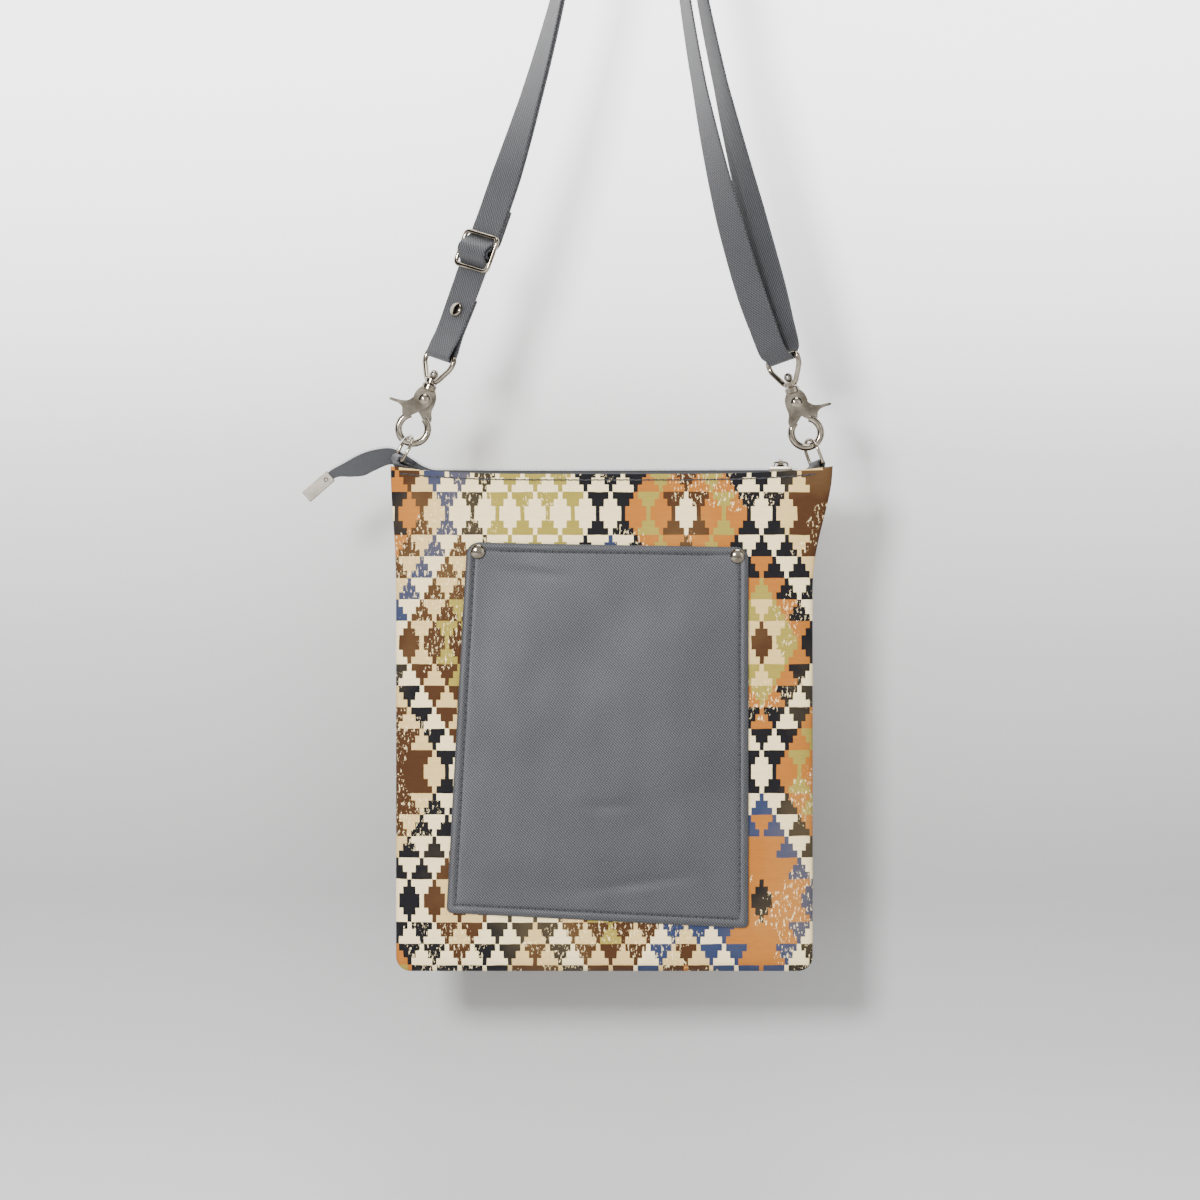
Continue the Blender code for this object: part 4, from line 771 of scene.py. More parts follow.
class Run:
    """The middle line of the two plies on one side, from the eye's bar to the hanger."""

    def __init__(self, word):
        values = side_values(word)
        self.sign = 1 if word == "left" else -1
        self.twist = LEFT_TWIST if word == "left" else RIGHT_TWIST
        up, _ = leaning(values["clip_lean"])
        handle = LEFT_HANDLE if word == "left" else RIGHT_HANDLE
        middle = HANGER_RADIUS + WEB_CENTRE + PLY_PITCH / 2
        start = values["eye_bar"]
        end = Vector((-self.sign * middle, 0, -HANGER_RADIUS))
        controls = [start, start + up * handle, end - Vector((0, 0, TOP_HANDLE)), end]
        count = 240
        self.points = []
        for k in range(count + 1):
            t = k / count
            shares = ((1 - t) ** 3, 3 * t * (1 - t) ** 2, 3 * t * t * (1 - t), t**3)
            self.points.append(sum((c * s for c, s in zip(controls, shares)), Vector()))
        self.lengths = path_lengths(self.points)
        self.length = self.lengths[-1]

    def place(self, rise):
        return path_point(self.points, self.lengths, rise)

    def frame(self, rise):
        """Point, tangent, and the width, outward and sideways directions at a length above the bar."""
        inside = min(max(rise, 0.0), self.length)
        point = self.place(inside)
        step = 0.002
        low = max(inside - step, 0.0)
        high = min(inside + step, self.length)
        tangent = (self.place(high) - self.place(low)).normalized()
        point = point + tangent * (rise - inside)
        share = inside / self.length
        angle = math.radians(float(np.interp(share, [a for a, _ in self.twist], [b for _, b in self.twist])))
        across = Vector((tangent.z, 0, -tangent.x)).normalized()
        wide = across * math.cos(angle) - Y_AXIS * math.sin(angle)
        wide = (wide - tangent * wide.dot(tangent)).normalized()
        outward = wide.cross(tangent) * self.sign
        return point, tangent, wide, outward, across

    def station(self, here, heading, spread):
        """A place on the band from (rise, outward offset) and its heading there."""
        point, tangent, wide, outward, across = self.frame(here[0])
        centre = point + outward * here[1] + across * spread
        ahead = Vector(heading).normalized()
        normal = (tangent * -ahead[1] + outward * ahead[0]) * self.sign
        return centre, wide, normal.normalized()


def stations_along(run, path, spread=None):
    """Stations for a path of (rise, offset) points on one run."""
    stations = []
    for k, here in enumerate(path):
        before = path[max(k - 1, 0)]
        after = path[min(k + 1, len(path) - 1)]
        heading = (after[0] - before[0], after[1] - before[1])
        stations.append(run.station(here, heading, spread(here) if spread else 0.0))
    return stations


def long_run(low, high, offset):
    count = max(int((high - low) / RUN_STEP), 2)
    return [(low + (high - low) * k / count, offset) for k in range(count + 1)]


def turn_round(centre, radius, start, end, steps):
    """Points round a bar; the angle runs from outward towards up."""
    points = []
    steps = steps * FINE
    for k in range(steps + 1):
        angle = start + (end - start) * k / steps
        points.append((centre[0] + radius * math.sin(angle), centre[1] + radius * math.cos(angle)))
    return points


def buckle_plane():
    """Outward offset of the buckle's bars from the plies' middle line."""
    return PLY_PITCH / 2 + WEB_CENTRE + SEAT_GAP + BUCKLE_WIRE


def make_buckle(left, metal):
    """The tri-glide: a frame of three bars, the strap's end round the middle one."""
    point, tangent, wide, outward, _ = left.frame(BUCKLE_RISE)
    frame = axes_frame(point + outward * buckle_plane(), wide, outward * -1, tangent)
    half = WEBBING_WIDTH / 2 + BUCKLE_SIDE_CLEARANCE + BUCKLE_WIRE
    corners = [(half, BUCKLE_PITCH), (-half, BUCKLE_PITCH), (-half, -BUCKLE_PITCH), (half, -BUCKLE_PITCH)]
    buckle = add_solid("strap_buckle", tube(rounded_path(corners, 0.0030), BUCKLE_WIRE, frame, True), metal)
    combine(buckle, "UNION", tube([(-half, 0), (half, 0)], BUCKLE_WIRE * 0.98, frame, False))


# Soft forms: folds and creases that the solids leave out

FOLD_DEPTH = 0.0007
FOLD_SIZE = 0.042
HEM_DEPTH = 0.0085
HEM_LIFT = 0.0005
PUFF = 0.0008
PANEL_COLUMNS = 130
PANEL_ROWS = 120
STITCH_INSET = 0.0047
STITCH_PITCH = 0.0040
STITCH_LENGTH = 0.0030
THREAD_RADIUS = 0.00036
THREAD_PITCH = 0.0006
SEAM_STEPS = 60
MOUTH_STEPS = 120
MOUTH_STITCH_DROP = 0.0032
MOUTH_STITCH_INSET = 0.006
TOOTH_PITCH = 0.0013
TOOTH_ACROSS = 0.00095
TOOTH_HEIGHT = 0.00045
TOOTH_THREAD = 0.00034


# Creases: X, drop, length, width, fall of the line for each metre along X, and depth
CORNER_CREASES = (
    (-0.1190, 0.2655, 0.0085, 0.0016, -0.55, 0.0009),
    (0.0900, 0.2640, 0.0080, 0.0020, 0.60, 0.0006),
)
POCKET_CREASES = (
    (-0.0130, 0.1865, 0.0150, 0.0026, -0.03, 0.00085),
    (0.0000, 0.2290, 0.0290, 0.0028, -0.12, 0.00105),
    (-0.0530, 0.0590, 0.0160, 0.0024, 0.10, 0.00090),
    (0.0120, 0.0490, 0.0200, 0.0024, 0.02, 0.00070),
)


def creases(x, drop, table):
    """The soft grooves of a table, each along a short line."""
    total = 0.0
    for at_x, at_drop, length, width, slope, depth in table:
        along = (x - at_x) / length
        across = (drop - at_drop - slope * (x - at_x)) / width
        total += -depth * math.exp(-along * along - across * across)
    return total


def bell(value, middle, width):
    """A smooth hump of height 1."""
    return math.exp(-((value - middle) / width) ** 2)


def folds(x, drop):
    """How far the canvas stands out from its plain form: slow waves, and a fold at a bottom corner."""
    half = half_width(drop, x - BAG_CENTRE_X)
    across = min(abs(x - BAG_CENTRE_X) / half, 1.0)
    fade = (1 - across**8) * smooth_step(drop / 0.025) * smooth_step((BAG_HEIGHT - drop) / 0.020)
    wave = noise.noise(Vector((x / FOLD_SIZE, drop / (FOLD_SIZE * 1.3), 0.7)))
    wave += 0.45 * noise.noise(Vector((x / FOLD_SIZE * 2.7, drop / FOLD_SIZE * 2.1, 4.1)))
    corner = creases(x, drop, CORNER_CREASES) * smooth_step((BAG_HEIGHT - drop) / 0.008)
    return fade * (FOLD_DEPTH * wave) + corner


def panel_grid(side, inset):
    """The panel's surface, moved inwards by the inset, with its folds and its thicker hem."""
    grid = []
    for k in range(PANEL_ROWS + 1):
        share = k / PANEL_ROWS
        drop = BAG_HEIGHT * math.sin(math.pi / 2 * share ** 0.8) if share > 0 else 0.0
        power = squareness(drop)
        depth = max(half_depth(drop) - inset, 0.0)
        row = []
        for i in range(PANEL_COLUMNS + 1):
            angle = math.pi * i / PANEL_COLUMNS
            cosine = -math.cos(angle)
            across = math.copysign(abs(cosine) ** (2 / power), cosine)
            x = BAG_CENTRE_X + across * (half_width(drop, cosine) - inset)
            bulge = abs(math.sin(angle)) ** (2 / power)
            y = SEAT_GAP / 2 + depth * bulge + folds(x, drop) * min(1.0, bulge * 1.6)
            if inset == 0.0:
                y += HEM_LIFT * bulge * (1 - smooth_step((drop - HEM_DEPTH) / 0.0012))
            lift = inset * smooth_step((drop - BAG_HEIGHT / 2) / (BAG_HEIGHT / 2))
            row.append(Vector((x, side * y, TOP_Z - drop - mouth_dip(x, drop) + lift)))
        grid.append(row)
    return grid


def dress_panel(name, side, mat):
    bm = bmesh.new()
    outer = [[bm.verts.new(p) for p in row] for row in panel_grid(side, 0.0)]
    inner = [[bm.verts.new(p) for p in row] for row in panel_grid(side, WALL)]
    for grid in (outer, inner):
        for row, following in zip(grid, grid[1:]):
            strip(bm, row, following)
    for end in (0, -1):
        strip(bm, outer[end], inner[end])
    for end in (0, -1):
        strip(bm, [row[end] for row in outer], [row[end] for row in inner])
    bmesh.ops.remove_doubles(bm, verts=bm.verts, dist=1e-6)
    bmesh.ops.dissolve_degenerate(bm, edges=bm.edges, dist=1e-6)
    add_solid(name, bm, mat)


def edge_steps(length, count):
    """Places from 0 to the length, closer together at both ends where the edge is folded and sewn."""
    near = [0.0, 0.0003, 0.0008, 0.0015, 0.0025, 0.0034, 0.0041, 0.0047, 0.0053, 0.0061, 0.0075, 0.0100]
    inner = [near[-1] + (length - 2 * near[-1]) * k / count for k in range(1, count)]
    return near + inner + [length - value for value in reversed(near)]


def corner_inset(fall, height):
    for radius, away in ((POCKET_TOP_RADIUS, fall), (POCKET_BOTTOM_RADIUS, height - fall)):
        if away < radius:
            return radius - math.sqrt(radius * radius - (radius - away) ** 2)
    return 0.0


def pocket_surface(share, across, inset, lift):
    """A point of the pocket's face, which follows the canvas under it and its own creases."""
    left, right = pocket_edges(share)
    x = BAG_CENTRE_X + left + inset + (right - left - 2 * inset) * across
    slope = POCKET_TOP_SLOPE + (POCKET_BOTTOM_SLOPE - POCKET_TOP_SLOPE) * share
    drop = POCKET_TOP + (POCKET_BOTTOM - POCKET_TOP) * share + slope * across
    y = SEAT_GAP / 2 + front_depth(x, drop) + max(folds(x, drop), -0.0004) + lift
    return Vector((x, -y, TOP_Z - drop - mouth_dip(x, drop)))


def pocket_relief(from_edge, x, drop):
    """The pocket's own relief: a rolled edge, a pinched stitch line and soft creases inside it."""
    rolled = 0.00045 * bell(from_edge, 0.0022, 0.0014)
    pinched = -0.00040 * bell(from_edge, STITCH_INSET, 0.0007)
    inside = smooth_step((from_edge - 0.008) / 0.030)
    soft = PUFF * (0.6 + noise.noise(Vector((x / 0.05, drop / 0.035, 9.3)))) * inside
    marks = creases(x, drop, POCKET_CREASES)
    return rolled + pinched + soft + marks * smooth_step((from_edge - 0.005) / 0.006)


def dress_pocket(mat):
    height = POCKET_BOTTOM - POCKET_TOP
    width = POCKET_RIGHT - POCKET_LEFT_TOP
    falls = edge_steps(height, 90)
    places = edge_steps(width, 80)
    bm = bmesh.new()
    layers = []
    for lift, relief in ((SEAT_GAP, 0.0), (SEAT_GAP + POCKET_THICKNESS, 1.0)):
        rows = []
        for fall in falls:
            row = []
            for place in places:
                point = pocket_surface(fall / height, place / width, corner_inset(fall, height), lift)
                edge = min(fall, height - fall, place, width - place)
                round_off = 0.00045 * math.exp(-edge / 0.0006)
                point.y -= relief * (pocket_relief(edge, point.x, TOP_Z - point.z) - round_off)
                row.append(bm.verts.new(point))
            rows.append(row)
        layers.append(rows)
    under, over = layers
    for rows in layers:
        for row, following in zip(rows, rows[1:]):
            strip(bm, row, following)
    for end in (0, -1):
        strip(bm, under[end], over[end])
        strip(bm, [row[end] for row in under], [row[end] for row in over])
    add_solid("front_pocket", bm, mat)


CAPSULE_SIDES = 8
CAPSULE_PROFILE = ((-1, 0.0), (-0.94, 0.6), (-0.72, 0.95), (0, 1.0), (0.72, 0.95), (0.94, 0.6), (1, 0.0))


def capsule(bm, middle, along, radius, length, flat=1.0):
    """A short round-ended thread in an open bmesh; flat below 1 presses it down along Y."""
    side = along.cross(Y_AXIS).normalized()
    up = side.cross(along).normalized()
    half = length / 2
    rows = []
    for place, size in CAPSULE_PROFILE:
        centre = middle + along * (half * place)
        if size == 0.0:
            rows.append([bm.verts.new(centre)])
            continue
        ring = []
        for k in range(CAPSULE_SIDES):
            angle = math.tau * k / CAPSULE_SIDES
            out = side * math.cos(angle) + up * math.sin(angle) * flat
            ring.append(bm.verts.new(centre + out * radius * size))
        rows.append(ring)
    ring_faces(bm, rows, CAPSULE_SIDES)


def stitch_line(bm, hole_shades, points, lift):
    """Threads in a row along the points, each a little aslant, with dark discs of painted shade at the needle
    holes between them.
    """
    lengths = path_lengths(points)
    out = Y_AXIS * -lift
    for k in range(int(lengths[-1] / STITCH_PITCH)):
        place = (k + 0.5) * STITCH_PITCH
        middle = path_point(points, lengths, place)
        span = path_point(points, lengths, place + 0.001) - path_point(points, lengths, place - 0.001)
        along = span.normalized()
        aslant = (along + along.cross(Y_AXIS) * 0.10).normalized()
        hole = path_point(points, lengths, k * STITCH_PITCH)
        capsule(bm, middle + out, aslant, THREAD_RADIUS, STITCH_LENGTH, 0.8)
        # A flat near-black disc at each needle hole: painted shade where the thread goes into the cloth.
        capsule(hole_shades, hole + out * 0.3, along, THREAD_RADIUS * 1.25, STITCH_PITCH * 0.30, 0.35)


def dress_stitches(thread, hole_shade_mat):
    """The pocket's seam on three sides and between its rivets, and the mouth's topstitching."""
    height = POCKET_BOTTOM - POCKET_TOP
    top = STITCH_INSET / height

    def pocket_point(share, across):
        return pocket_surface(share, across, STITCH_INSET, SEAT_GAP + POCKET_THICKNESS)

    steps = [k / SEAM_STEPS for k in range(SEAM_STEPS + 1)]
    lines = [[pocket_point(0.050 + 0.922 * step, side) for step in steps] for side in (0.0, 1.0)]
    lines.append([pocket_point(1 - top, step) for step in steps])
    lines.append([pocket_point(top, 0.10 + 0.80 * step) for step in steps])
    seams = [("pocket_stitches", "pocket_stitch_hole_shades", lines, -0.0001)]
    for word, side in (("front", -1), ("back", 1)):
        points = []
        for k in range(MOUTH_STEPS + 1):
            x = LEFT_X + MOUTH_STITCH_INSET + (RIGHT_X - LEFT_X - 2 * MOUTH_STITCH_INSET) * k / MOUTH_STEPS
            y = SEAT_GAP / 2 + front_depth(x, MOUTH_STITCH_DROP) + HEM_LIFT + 0.0001
            z = TOP_Z - MOUTH_STITCH_DROP - mouth_dip(x, MOUTH_STITCH_DROP)
            points.append(Vector((x, side * y, z)))
        seams.append((f"mouth_stitches_{word}", f"mouth_stitch_holes_{word}", [points], 0.0))
    # Each seam makes two pieces: its threads, and the discs of painted shade at its needle holes.
    pieces = []
    for name, hole_shade_name, rows, lift in seams:
        bm = bmesh.new()
        hole_shades = bmesh.new()
        for points in rows:
            stitch_line(bm, hole_shades, points, lift)
        pieces += [add_solid(name, bm, thread), add_solid(hole_shade_name, hole_shades, hole_shade_mat)]
    return pieces


def smooth_through(rows, step, measure=3):
    """More rows of numbers along a smooth curve through the given ones, spaced by the step."""
    values = np.array(rows, dtype=float)
    gaps = np.linalg.norm(np.diff(values[:, :measure], axis=0), axis=1)
    places = np.concatenate([[0.0], np.cumsum(np.maximum(gaps, 1e-6))])
    slopes = np.zeros_like(values)
    slopes[1:-1] = (values[2:] - values[:-2]) / (places[2:] - places[:-2])[:, None]
    slopes[0] = (values[1] - values[0]) / (places[1] - places[0])
    slopes[-1] = (values[-1] - values[-2]) / (places[-1] - places[-2])
    out = []
    for k in range(len(values) - 1):
        span = places[k + 1] - places[k]
        count = max(int(span / step), 1)
        for i in range(count):
            t = i / count
            out.append((1 + 2 * t) * (1 - t) ** 2 * values[k] + t * (1 - t) ** 2 * span * slopes[k]
                       + t * t * (3 - 2 * t) * values[k + 1] + t * t * (t - 1) * span * slopes[k + 1])
    out.append(values[-1])
    return [list(map(float, row)) for row in out]


def fine_tape():
    """The zip's stations on a smooth curve: ridge point, drop, spread and lean."""
    rows = [[*ridge, drop, spread, lean] for ridge, drop, spread, lean in tape_stations()]
    return [(Vector(row[:3]), row[3], row[4], row[5]) for row in smooth_through(rows, 0.0012)]


def dress_stringer(name, side, mat):
    """One zip tape: a soft band that bows out from the coil's edge down to the canvas."""
    sections = []
    apart = SEAT_GAP / 2
    for ridge, drop, spread, lean in fine_tape():
        down = Vector((math.sin(lean), 0, -math.cos(lean)))
        outline = [(apart, 0.0003), (COIL_HALF, 0.0003), (COIL_HALF, COIL_HEIGHT * 0.7)]
        for k in range(7):
            share = k / 6
            out = COIL_HALF + (spread - COIL_HALF) * share**0.8
            outline.append((out, COIL_HEIGHT + (drop - COIL_HEIGHT) * share))
        outline += [(out - TAPE_THICKNESS, fall) for out, fall in reversed(outline[4:])]
        outline += [(apart + 0.0001, COIL_HEIGHT + 0.0004), (apart, COIL_HEIGHT)]
        sections.append([ridge + Vector((0, side * out, 0)) + down * fall for out, fall in outline])
    add_solid(name, loft(sections), mat)


def dress_coil(mat):
    """The coil's loops along the ridge, alternating from side to side."""
    tape = fine_tape()
    points = [row[0] for row in tape]
    leans = [row[3] for row in tape]
    lengths = path_lengths(points)
    bm = bmesh.new()
    for k in range(int(lengths[-1] / TOOTH_PITCH)):
        place = (k + 0.5) * TOOTH_PITCH
        lean = float(np.interp(place, lengths, leans))
        up = Vector((-math.sin(lean), 0, math.cos(lean)))
        side = 1 if k % 2 else -1
        middle = path_point(points, lengths, place) + Vector((0, side * 0.00028, 0)) + up * 0.0001
        loop = []
        for i in range(7):
            angle = math.pi * i / 6
            across = Vector((0, side * -TOOTH_ACROSS * math.cos(angle), 0))
            loop.append(middle + across + up * TOOTH_HEIGHT * math.sin(angle))
        for start, end in zip(loop[:-2:2], loop[2::2]):
            span = end - start
            capsule(bm, (start + end) / 2 + up * 0.00008, span.normalized(), TOOTH_THREAD, span.length * 1.35)
    return add_solid("zip_coil", bm, mat)


BAND_EDGE = ((1.0, 0.22), (0.985, 0.42), (0.95, 0.5), (0.86, 0.5), (0.6, 0.5), (0.3, 0.5))
BAND_UPPER = [(-x, y) for x, y in BAND_EDGE] + [(0.0, 0.5), *reversed(BAND_EDGE)]
BAND_OUTLINE = BAND_UPPER + [(x, -y) for x, y in reversed(BAND_UPPER)]


def band(name, stations, width, thickness, mat):
    """A woven band with soft selvedges; its UVs are metres across and along it."""
    bm = loft([[centre + wide * (x * width / 2) + normal * (y * thickness) for x, y in BAND_OUTLINE]
               for centre, wide, normal in stations])
    lengths = path_lengths([centre for centre, _, _ in stations])
    places = [(x * width / 2, length) for length in lengths for x, _ in BAND_OUTLINE]
    bm.verts.index_update()
    uv = bm.loops.layers.uv.new("weave")
    for face in bm.faces:
        for corner in face.loops:
            corner[uv].uv = places[corner.vert.index]
    return add_solid(name, bm, mat)


# The strap: a fixed band, and the buckle's own turns of webbing, which move with it

def refine(path, step=0.0022):
    """A smoother path through (rise, offset) points."""
    return [(row[0], row[1]) for row in smooth_through([list(point) for point in path], step, 2)]


def dress_strap(mat):
    """The fixed band and the buckle's turns; returns the turns and the left run."""
    left = Run("left")
    right = Run("right")
    half = PLY_PITCH / 2
    eye_turn = EYE_WIRE + SEAT_GAP + WEB_CENTRE
    low_bar = BUCKLE_RISE - BUCKLE_PITCH
    top_bar = BUCKLE_RISE + BUCKLE_PITCH
    plane = buckle_plane()
    hub = (BUCKLE_RISE, plane)
    hub_turn = BUCKLE_WIRE + SEAT_GAP + WEB_CENTRE

    closing = [(EYE_CLOSING * 0.3, eye_turn * 0.88), (EYE_CLOSING * 0.6, half + 0.0005), (EYE_CLOSING, half)]
    outer = [(SHORT_END, -half), (STRAP_RIVET_RISE + 0.003, -half), (STRAP_RIVET_RISE - 0.003, -half)]
    outer += [(rise, -offset) for rise, offset in reversed(closing)]
    outer += turn_round((0, 0), eye_turn, math.pi, math.tau, 8) + closing
    outer += [(STRAP_RIVET_RISE, half), (low_bar - 0.010, half), (BUCKLE_RISE, half - 0.0001)]
    outer += [(top_bar + 0.004, half)] + long_run(top_bar + 0.008, left.length - 0.004, half)
    inner_down = list(reversed(long_run(top_bar + 0.004, left.length - 0.004, -half)))
    inner_down += [(top_bar, -half), (BUCKLE_RISE + 0.004, -half), (BUCKLE_RISE - 0.001, -half)]

    def spread(side):
        def at(here):
            share = min(max(here[0] / right.length, 0.0), 1.0)
            return side * RIGHT_LOOP_SPREAD * math.sin(math.pi * share**SPREAD_POWER)
        return at

    def side_offset(rise, side):
        share = float(np.interp(rise, (0.0, 0.005, 0.011, 0.018), (1.0, 0.94, 0.70, 0.5)))
        return side * (half + (eye_turn - half) * (share - 0.5) * 2)

    climb = [0.0025, 0.005, 0.008, 0.011, 0.0145, 0.018]
    climb += [rise for rise, _ in long_run(0.022, right.length - 0.004, 0)]
    down = [(rise, side_offset(rise, 1)) for rise in reversed(climb)]
    up = [(rise, side_offset(rise, -1)) for rise in climb]
    turn = turn_round((0, 0), eye_turn, 0, -math.pi, 8)

    def over_top(offset, direction):
        middle = HANGER_RADIUS + WEB_CENTRE + PLY_PITCH / 2 + offset
        stations = []
        for k in range(HANGER_STEPS + 1):
            share = k / HANGER_STEPS
            angle = math.pi * (1 - share) if direction > 0 else math.pi * share
            out = Vector((math.cos(angle), 0, math.sin(angle)))
            stations.append((Vector((0, 0, -HANGER_RADIUS)) + out * middle, Y_AXIS * -1, out * direction))
        return stations

    stations = stations_along(left, refine(outer))
    stations += over_top(half, 1)
    stations += stations_along(right, down, spread(1))
    stations += stations_along(right, turn)
    stations += stations_along(right, up, spread(-1))
    stations += over_top(-half, -1)
    stations += stations_along(left, refine(inner_down))
    band("strap", stations, WEBBING_WIDTH, WEBBING_THICKNESS, mat)

    over = half + WEBBING_THICKNESS * 0.16
    hump = [(low_bar - 0.009, half), (low_bar - 0.004, over), (low_bar, over)]
    hump += [(low_bar + 0.0022, half + 0.0006)]
    hump += turn_round(hub, HUMP_RADIUS, math.radians(-50), math.radians(50), 6)
    hump += [(top_bar - 0.0016, half + 0.0004), (top_bar, over), (top_bar + 0.004, over)]
    hump += [(top_bar + 0.010, half)]
    tail = half + PLY_PITCH
    loop = [(top_bar + 0.014, -half), (top_bar + 0.006, -half), (top_bar, -half)]
    loop += [(top_bar - 0.0018, -half + 0.0004)]
    loop += turn_round(hub, hub_turn, math.radians(48), math.radians(-180), 10)
    loop += [(BUCKLE_RISE + 0.0032, plane - hub_turn - 0.0009), (top_bar - 0.0030, -tail + 0.0002)]
    loop += [(top_bar + 0.001, -tail), (BUCKLE_RISE + BUCKLE_TAIL, -tail)]
    turns = []
    for name, path in (("buckle_hump", hump), ("buckle_loop", loop)):
        path = stations_along(left, refine(path, 0.0012))
        turns.append(band(name, path, WEBBING_WIDTH * 1.006, WEBBING_THICKNESS * 1.04, mat))
    return turns, left


def dress_strap_rivet(left, metal):
    point, tangent, wide, outward, _ = left.frame(STRAP_RIVET_RISE)
    place = axes_frame(point, wide, tangent * -1, outward)
    face = PLY_PITCH / 2 + WEB_CENTRE + SEAT_GAP
    shank = RIVET_SHANK_RADIUS
    cap = [(0, -face - RIVET_BACK_THICKNESS), (shank, -face - RIVET_BACK_THICKNESS), (shank, face)]
    cap += [(RIVET_RADIUS, face)] + dome(RIVET_RADIUS, face + 0.0004, RIVET_DOME - 0.0004)
    add_solid("strap_rivet", turned(cap, place), metal)
    back = cylinder(RIVET_BACK_RADIUS, -face - RIVET_BACK_THICKNESS, -face, place)
    add_solid("strap_rivet_back", back, metal)


# Materials

def rgb(code):
    """A linear colour from six hex digits."""
    values = [int(code[i:i + 2], 16) / 255 for i in (0, 2, 4)]
    return [v / 12.92 if v <= 0.04045 else ((v + 0.055) / 1.055) ** 2.4 for v in values]


class Nodes:
    """Short calls for the nodes of one tree."""

    def __init__(self, tree):
        self.tree = tree

    def put(self, value, socket):
        if isinstance(value, bpy.types.NodeSocket):
            self.tree.links.new(value, socket)
        elif isinstance(value, (list, tuple)) and len(socket.default_value) == 4 and len(value) == 3:
            socket.default_value = (*value, 1.0)
        else:
            socket.default_value = value

    def node(self, kind, *values, **settings):
        node = self.tree.nodes.new(kind)
        for key, value in settings.items():
            setattr(node, key, value)
        for socket, value in zip(node.inputs, values):
            if value is not None:
                self.put(value, socket)
        return node

    def math(self, operation, a, b=0.0):
        return self.node("ShaderNodeMath", a, b, operation=operation).outputs[0]

    def add(self, a, b):
        return self.math("ADD", a, b)

    def sub(self, a, b):
        return self.math("SUBTRACT", a, b)

    def mul(self, a, b):
        return self.math("MULTIPLY", a, b)

    def div(self, a, b):
        return self.math("DIVIDE", a, b)

    def place(self):
        return self.node("ShaderNodeTexCoord").outputs["Object"]

    def weave_place(self):
        return self.node("ShaderNodeUVMap", uv_map="weave").outputs[0]

    def split(self, vector):
        return self.node("ShaderNodeSeparateXYZ", vector).outputs

    def join(self, x, y, z):
        return self.node("ShaderNodeCombineXYZ", x, y, z).outputs[0]

    def noise(self, vector, scale, detail=2.0, roughness=0.5):
        node = self.node("ShaderNodeTexNoise")
        self.put(vector, node.inputs["Vector"])
        node.inputs["Scale"].default_value = scale
        node.inputs["Detail"].default_value = detail
        node.inputs["Roughness"].default_value = roughness
        return node.outputs["Fac"]

    def ramp(self, value, stops, interpolation="LINEAR"):
        node = self.node("ShaderNodeValToRGB", value)
        elements = node.color_ramp.elements
        node.color_ramp.interpolation = interpolation
        while len(elements) < len(stops):
            elements.new(0.5)
        for element, (place, color) in zip(elements, stops):
            element.position = place
            element.color = (*(color if isinstance(color, (list, tuple)) else [color] * 3), 1.0)
        return node.outputs["Color"]

    def mix(self, share, a, b, blend="MIX"):
        node = self.node("ShaderNodeMix", data_type="RGBA", blend_type=blend)
        self.put(share, node.inputs[0])
        self.put(a, node.inputs[6])
        self.put(b, node.inputs[7])
        return node.outputs[2]

    def bump(self, height, distance, strength, under=None):
        node = self.node("ShaderNodeBump")
        node.inputs["Strength"].default_value = strength
        node.inputs["Distance"].default_value = distance
        self.put(height, node.inputs["Height"])
        if under is not None:
            self.put(under, node.inputs["Normal"])
        return node.outputs["Normal"]

    def lines(self, value, pitch):
        """A wave from 0 to 1 with the given pitch."""
        wave = self.math("SINE", self.mul(value, math.tau / pitch))
        return self.add(self.mul(wave, 0.5), 0.5)


class Finish(Nodes):
    """A Principled material, fed by nodes."""

    def __init__(self, name, roughness, metallic=0.0):
        self.material = bpy.data.materials.new(name)
        self.material.use_nodes = True
        super().__init__(self.material.node_tree)
        self.main = self.tree.nodes["Principled BSDF"]
        self.main.inputs["Roughness"].default_value = roughness
        self.main.inputs["Metallic"].default_value = metallic

    def finish(self, color=None, roughness=None, normal=None, **fixed):
        for name, value in (("Base Color", color), ("Roughness", roughness), ("Normal", normal)):
            if value is not None:
                self.put(value, self.main.inputs[name])
        for key, value in fixed.items():
            self.main.inputs[key.replace("_", " ")].default_value = value
        return self.material


CREAM = rgb("FFE9B2")
BEIGE = rgb("DDBC7C")
ORANGE = rgb("A96722")
BROWN = rgb("45280F")
NAVY = rgb("0C0B10")
OLIVE = rgb("99893A")
BLUE = rgb("2B3655")
MOTIF_WIDTH = 0.0138
ROW_HEIGHT = 0.0118
MOTIF_STEPS = 3
KINDS = 4
RINGS = 6
DIAMOND_MOTIFS = 6
DIAMOND_ROWS = 12
PRINT_AT = (-0.0118, -0.4640)
RIB_PITCH = 0.00062
PICK_PITCH = 0.00074
HERRINGBONE = 0.0016
DARKER = (
    (NAVY, BROWN, OLIVE, BROWN, BROWN, BROWN),
    (NAVY, NAVY, OLIVE, BROWN, OLIVE, BROWN),
    (BLUE, NAVY, BROWN, OLIVE, NAVY, BROWN),
    (NAVY, BLUE, BROWN, ORANGE, BROWN, NAVY),
)
LIGHTER = (
    (CREAM, ORANGE, BEIGE, ORANGE, OLIVE, CREAM),
    (CREAM, CREAM, CREAM, CREAM, BEIGE, CREAM),
    (CREAM, BEIGE, ORANGE, ORANGE, BEIGE, CREAM),
    (CREAM, BEIGE, ORANGE, BROWN, ORANGE, ORANGE),
)


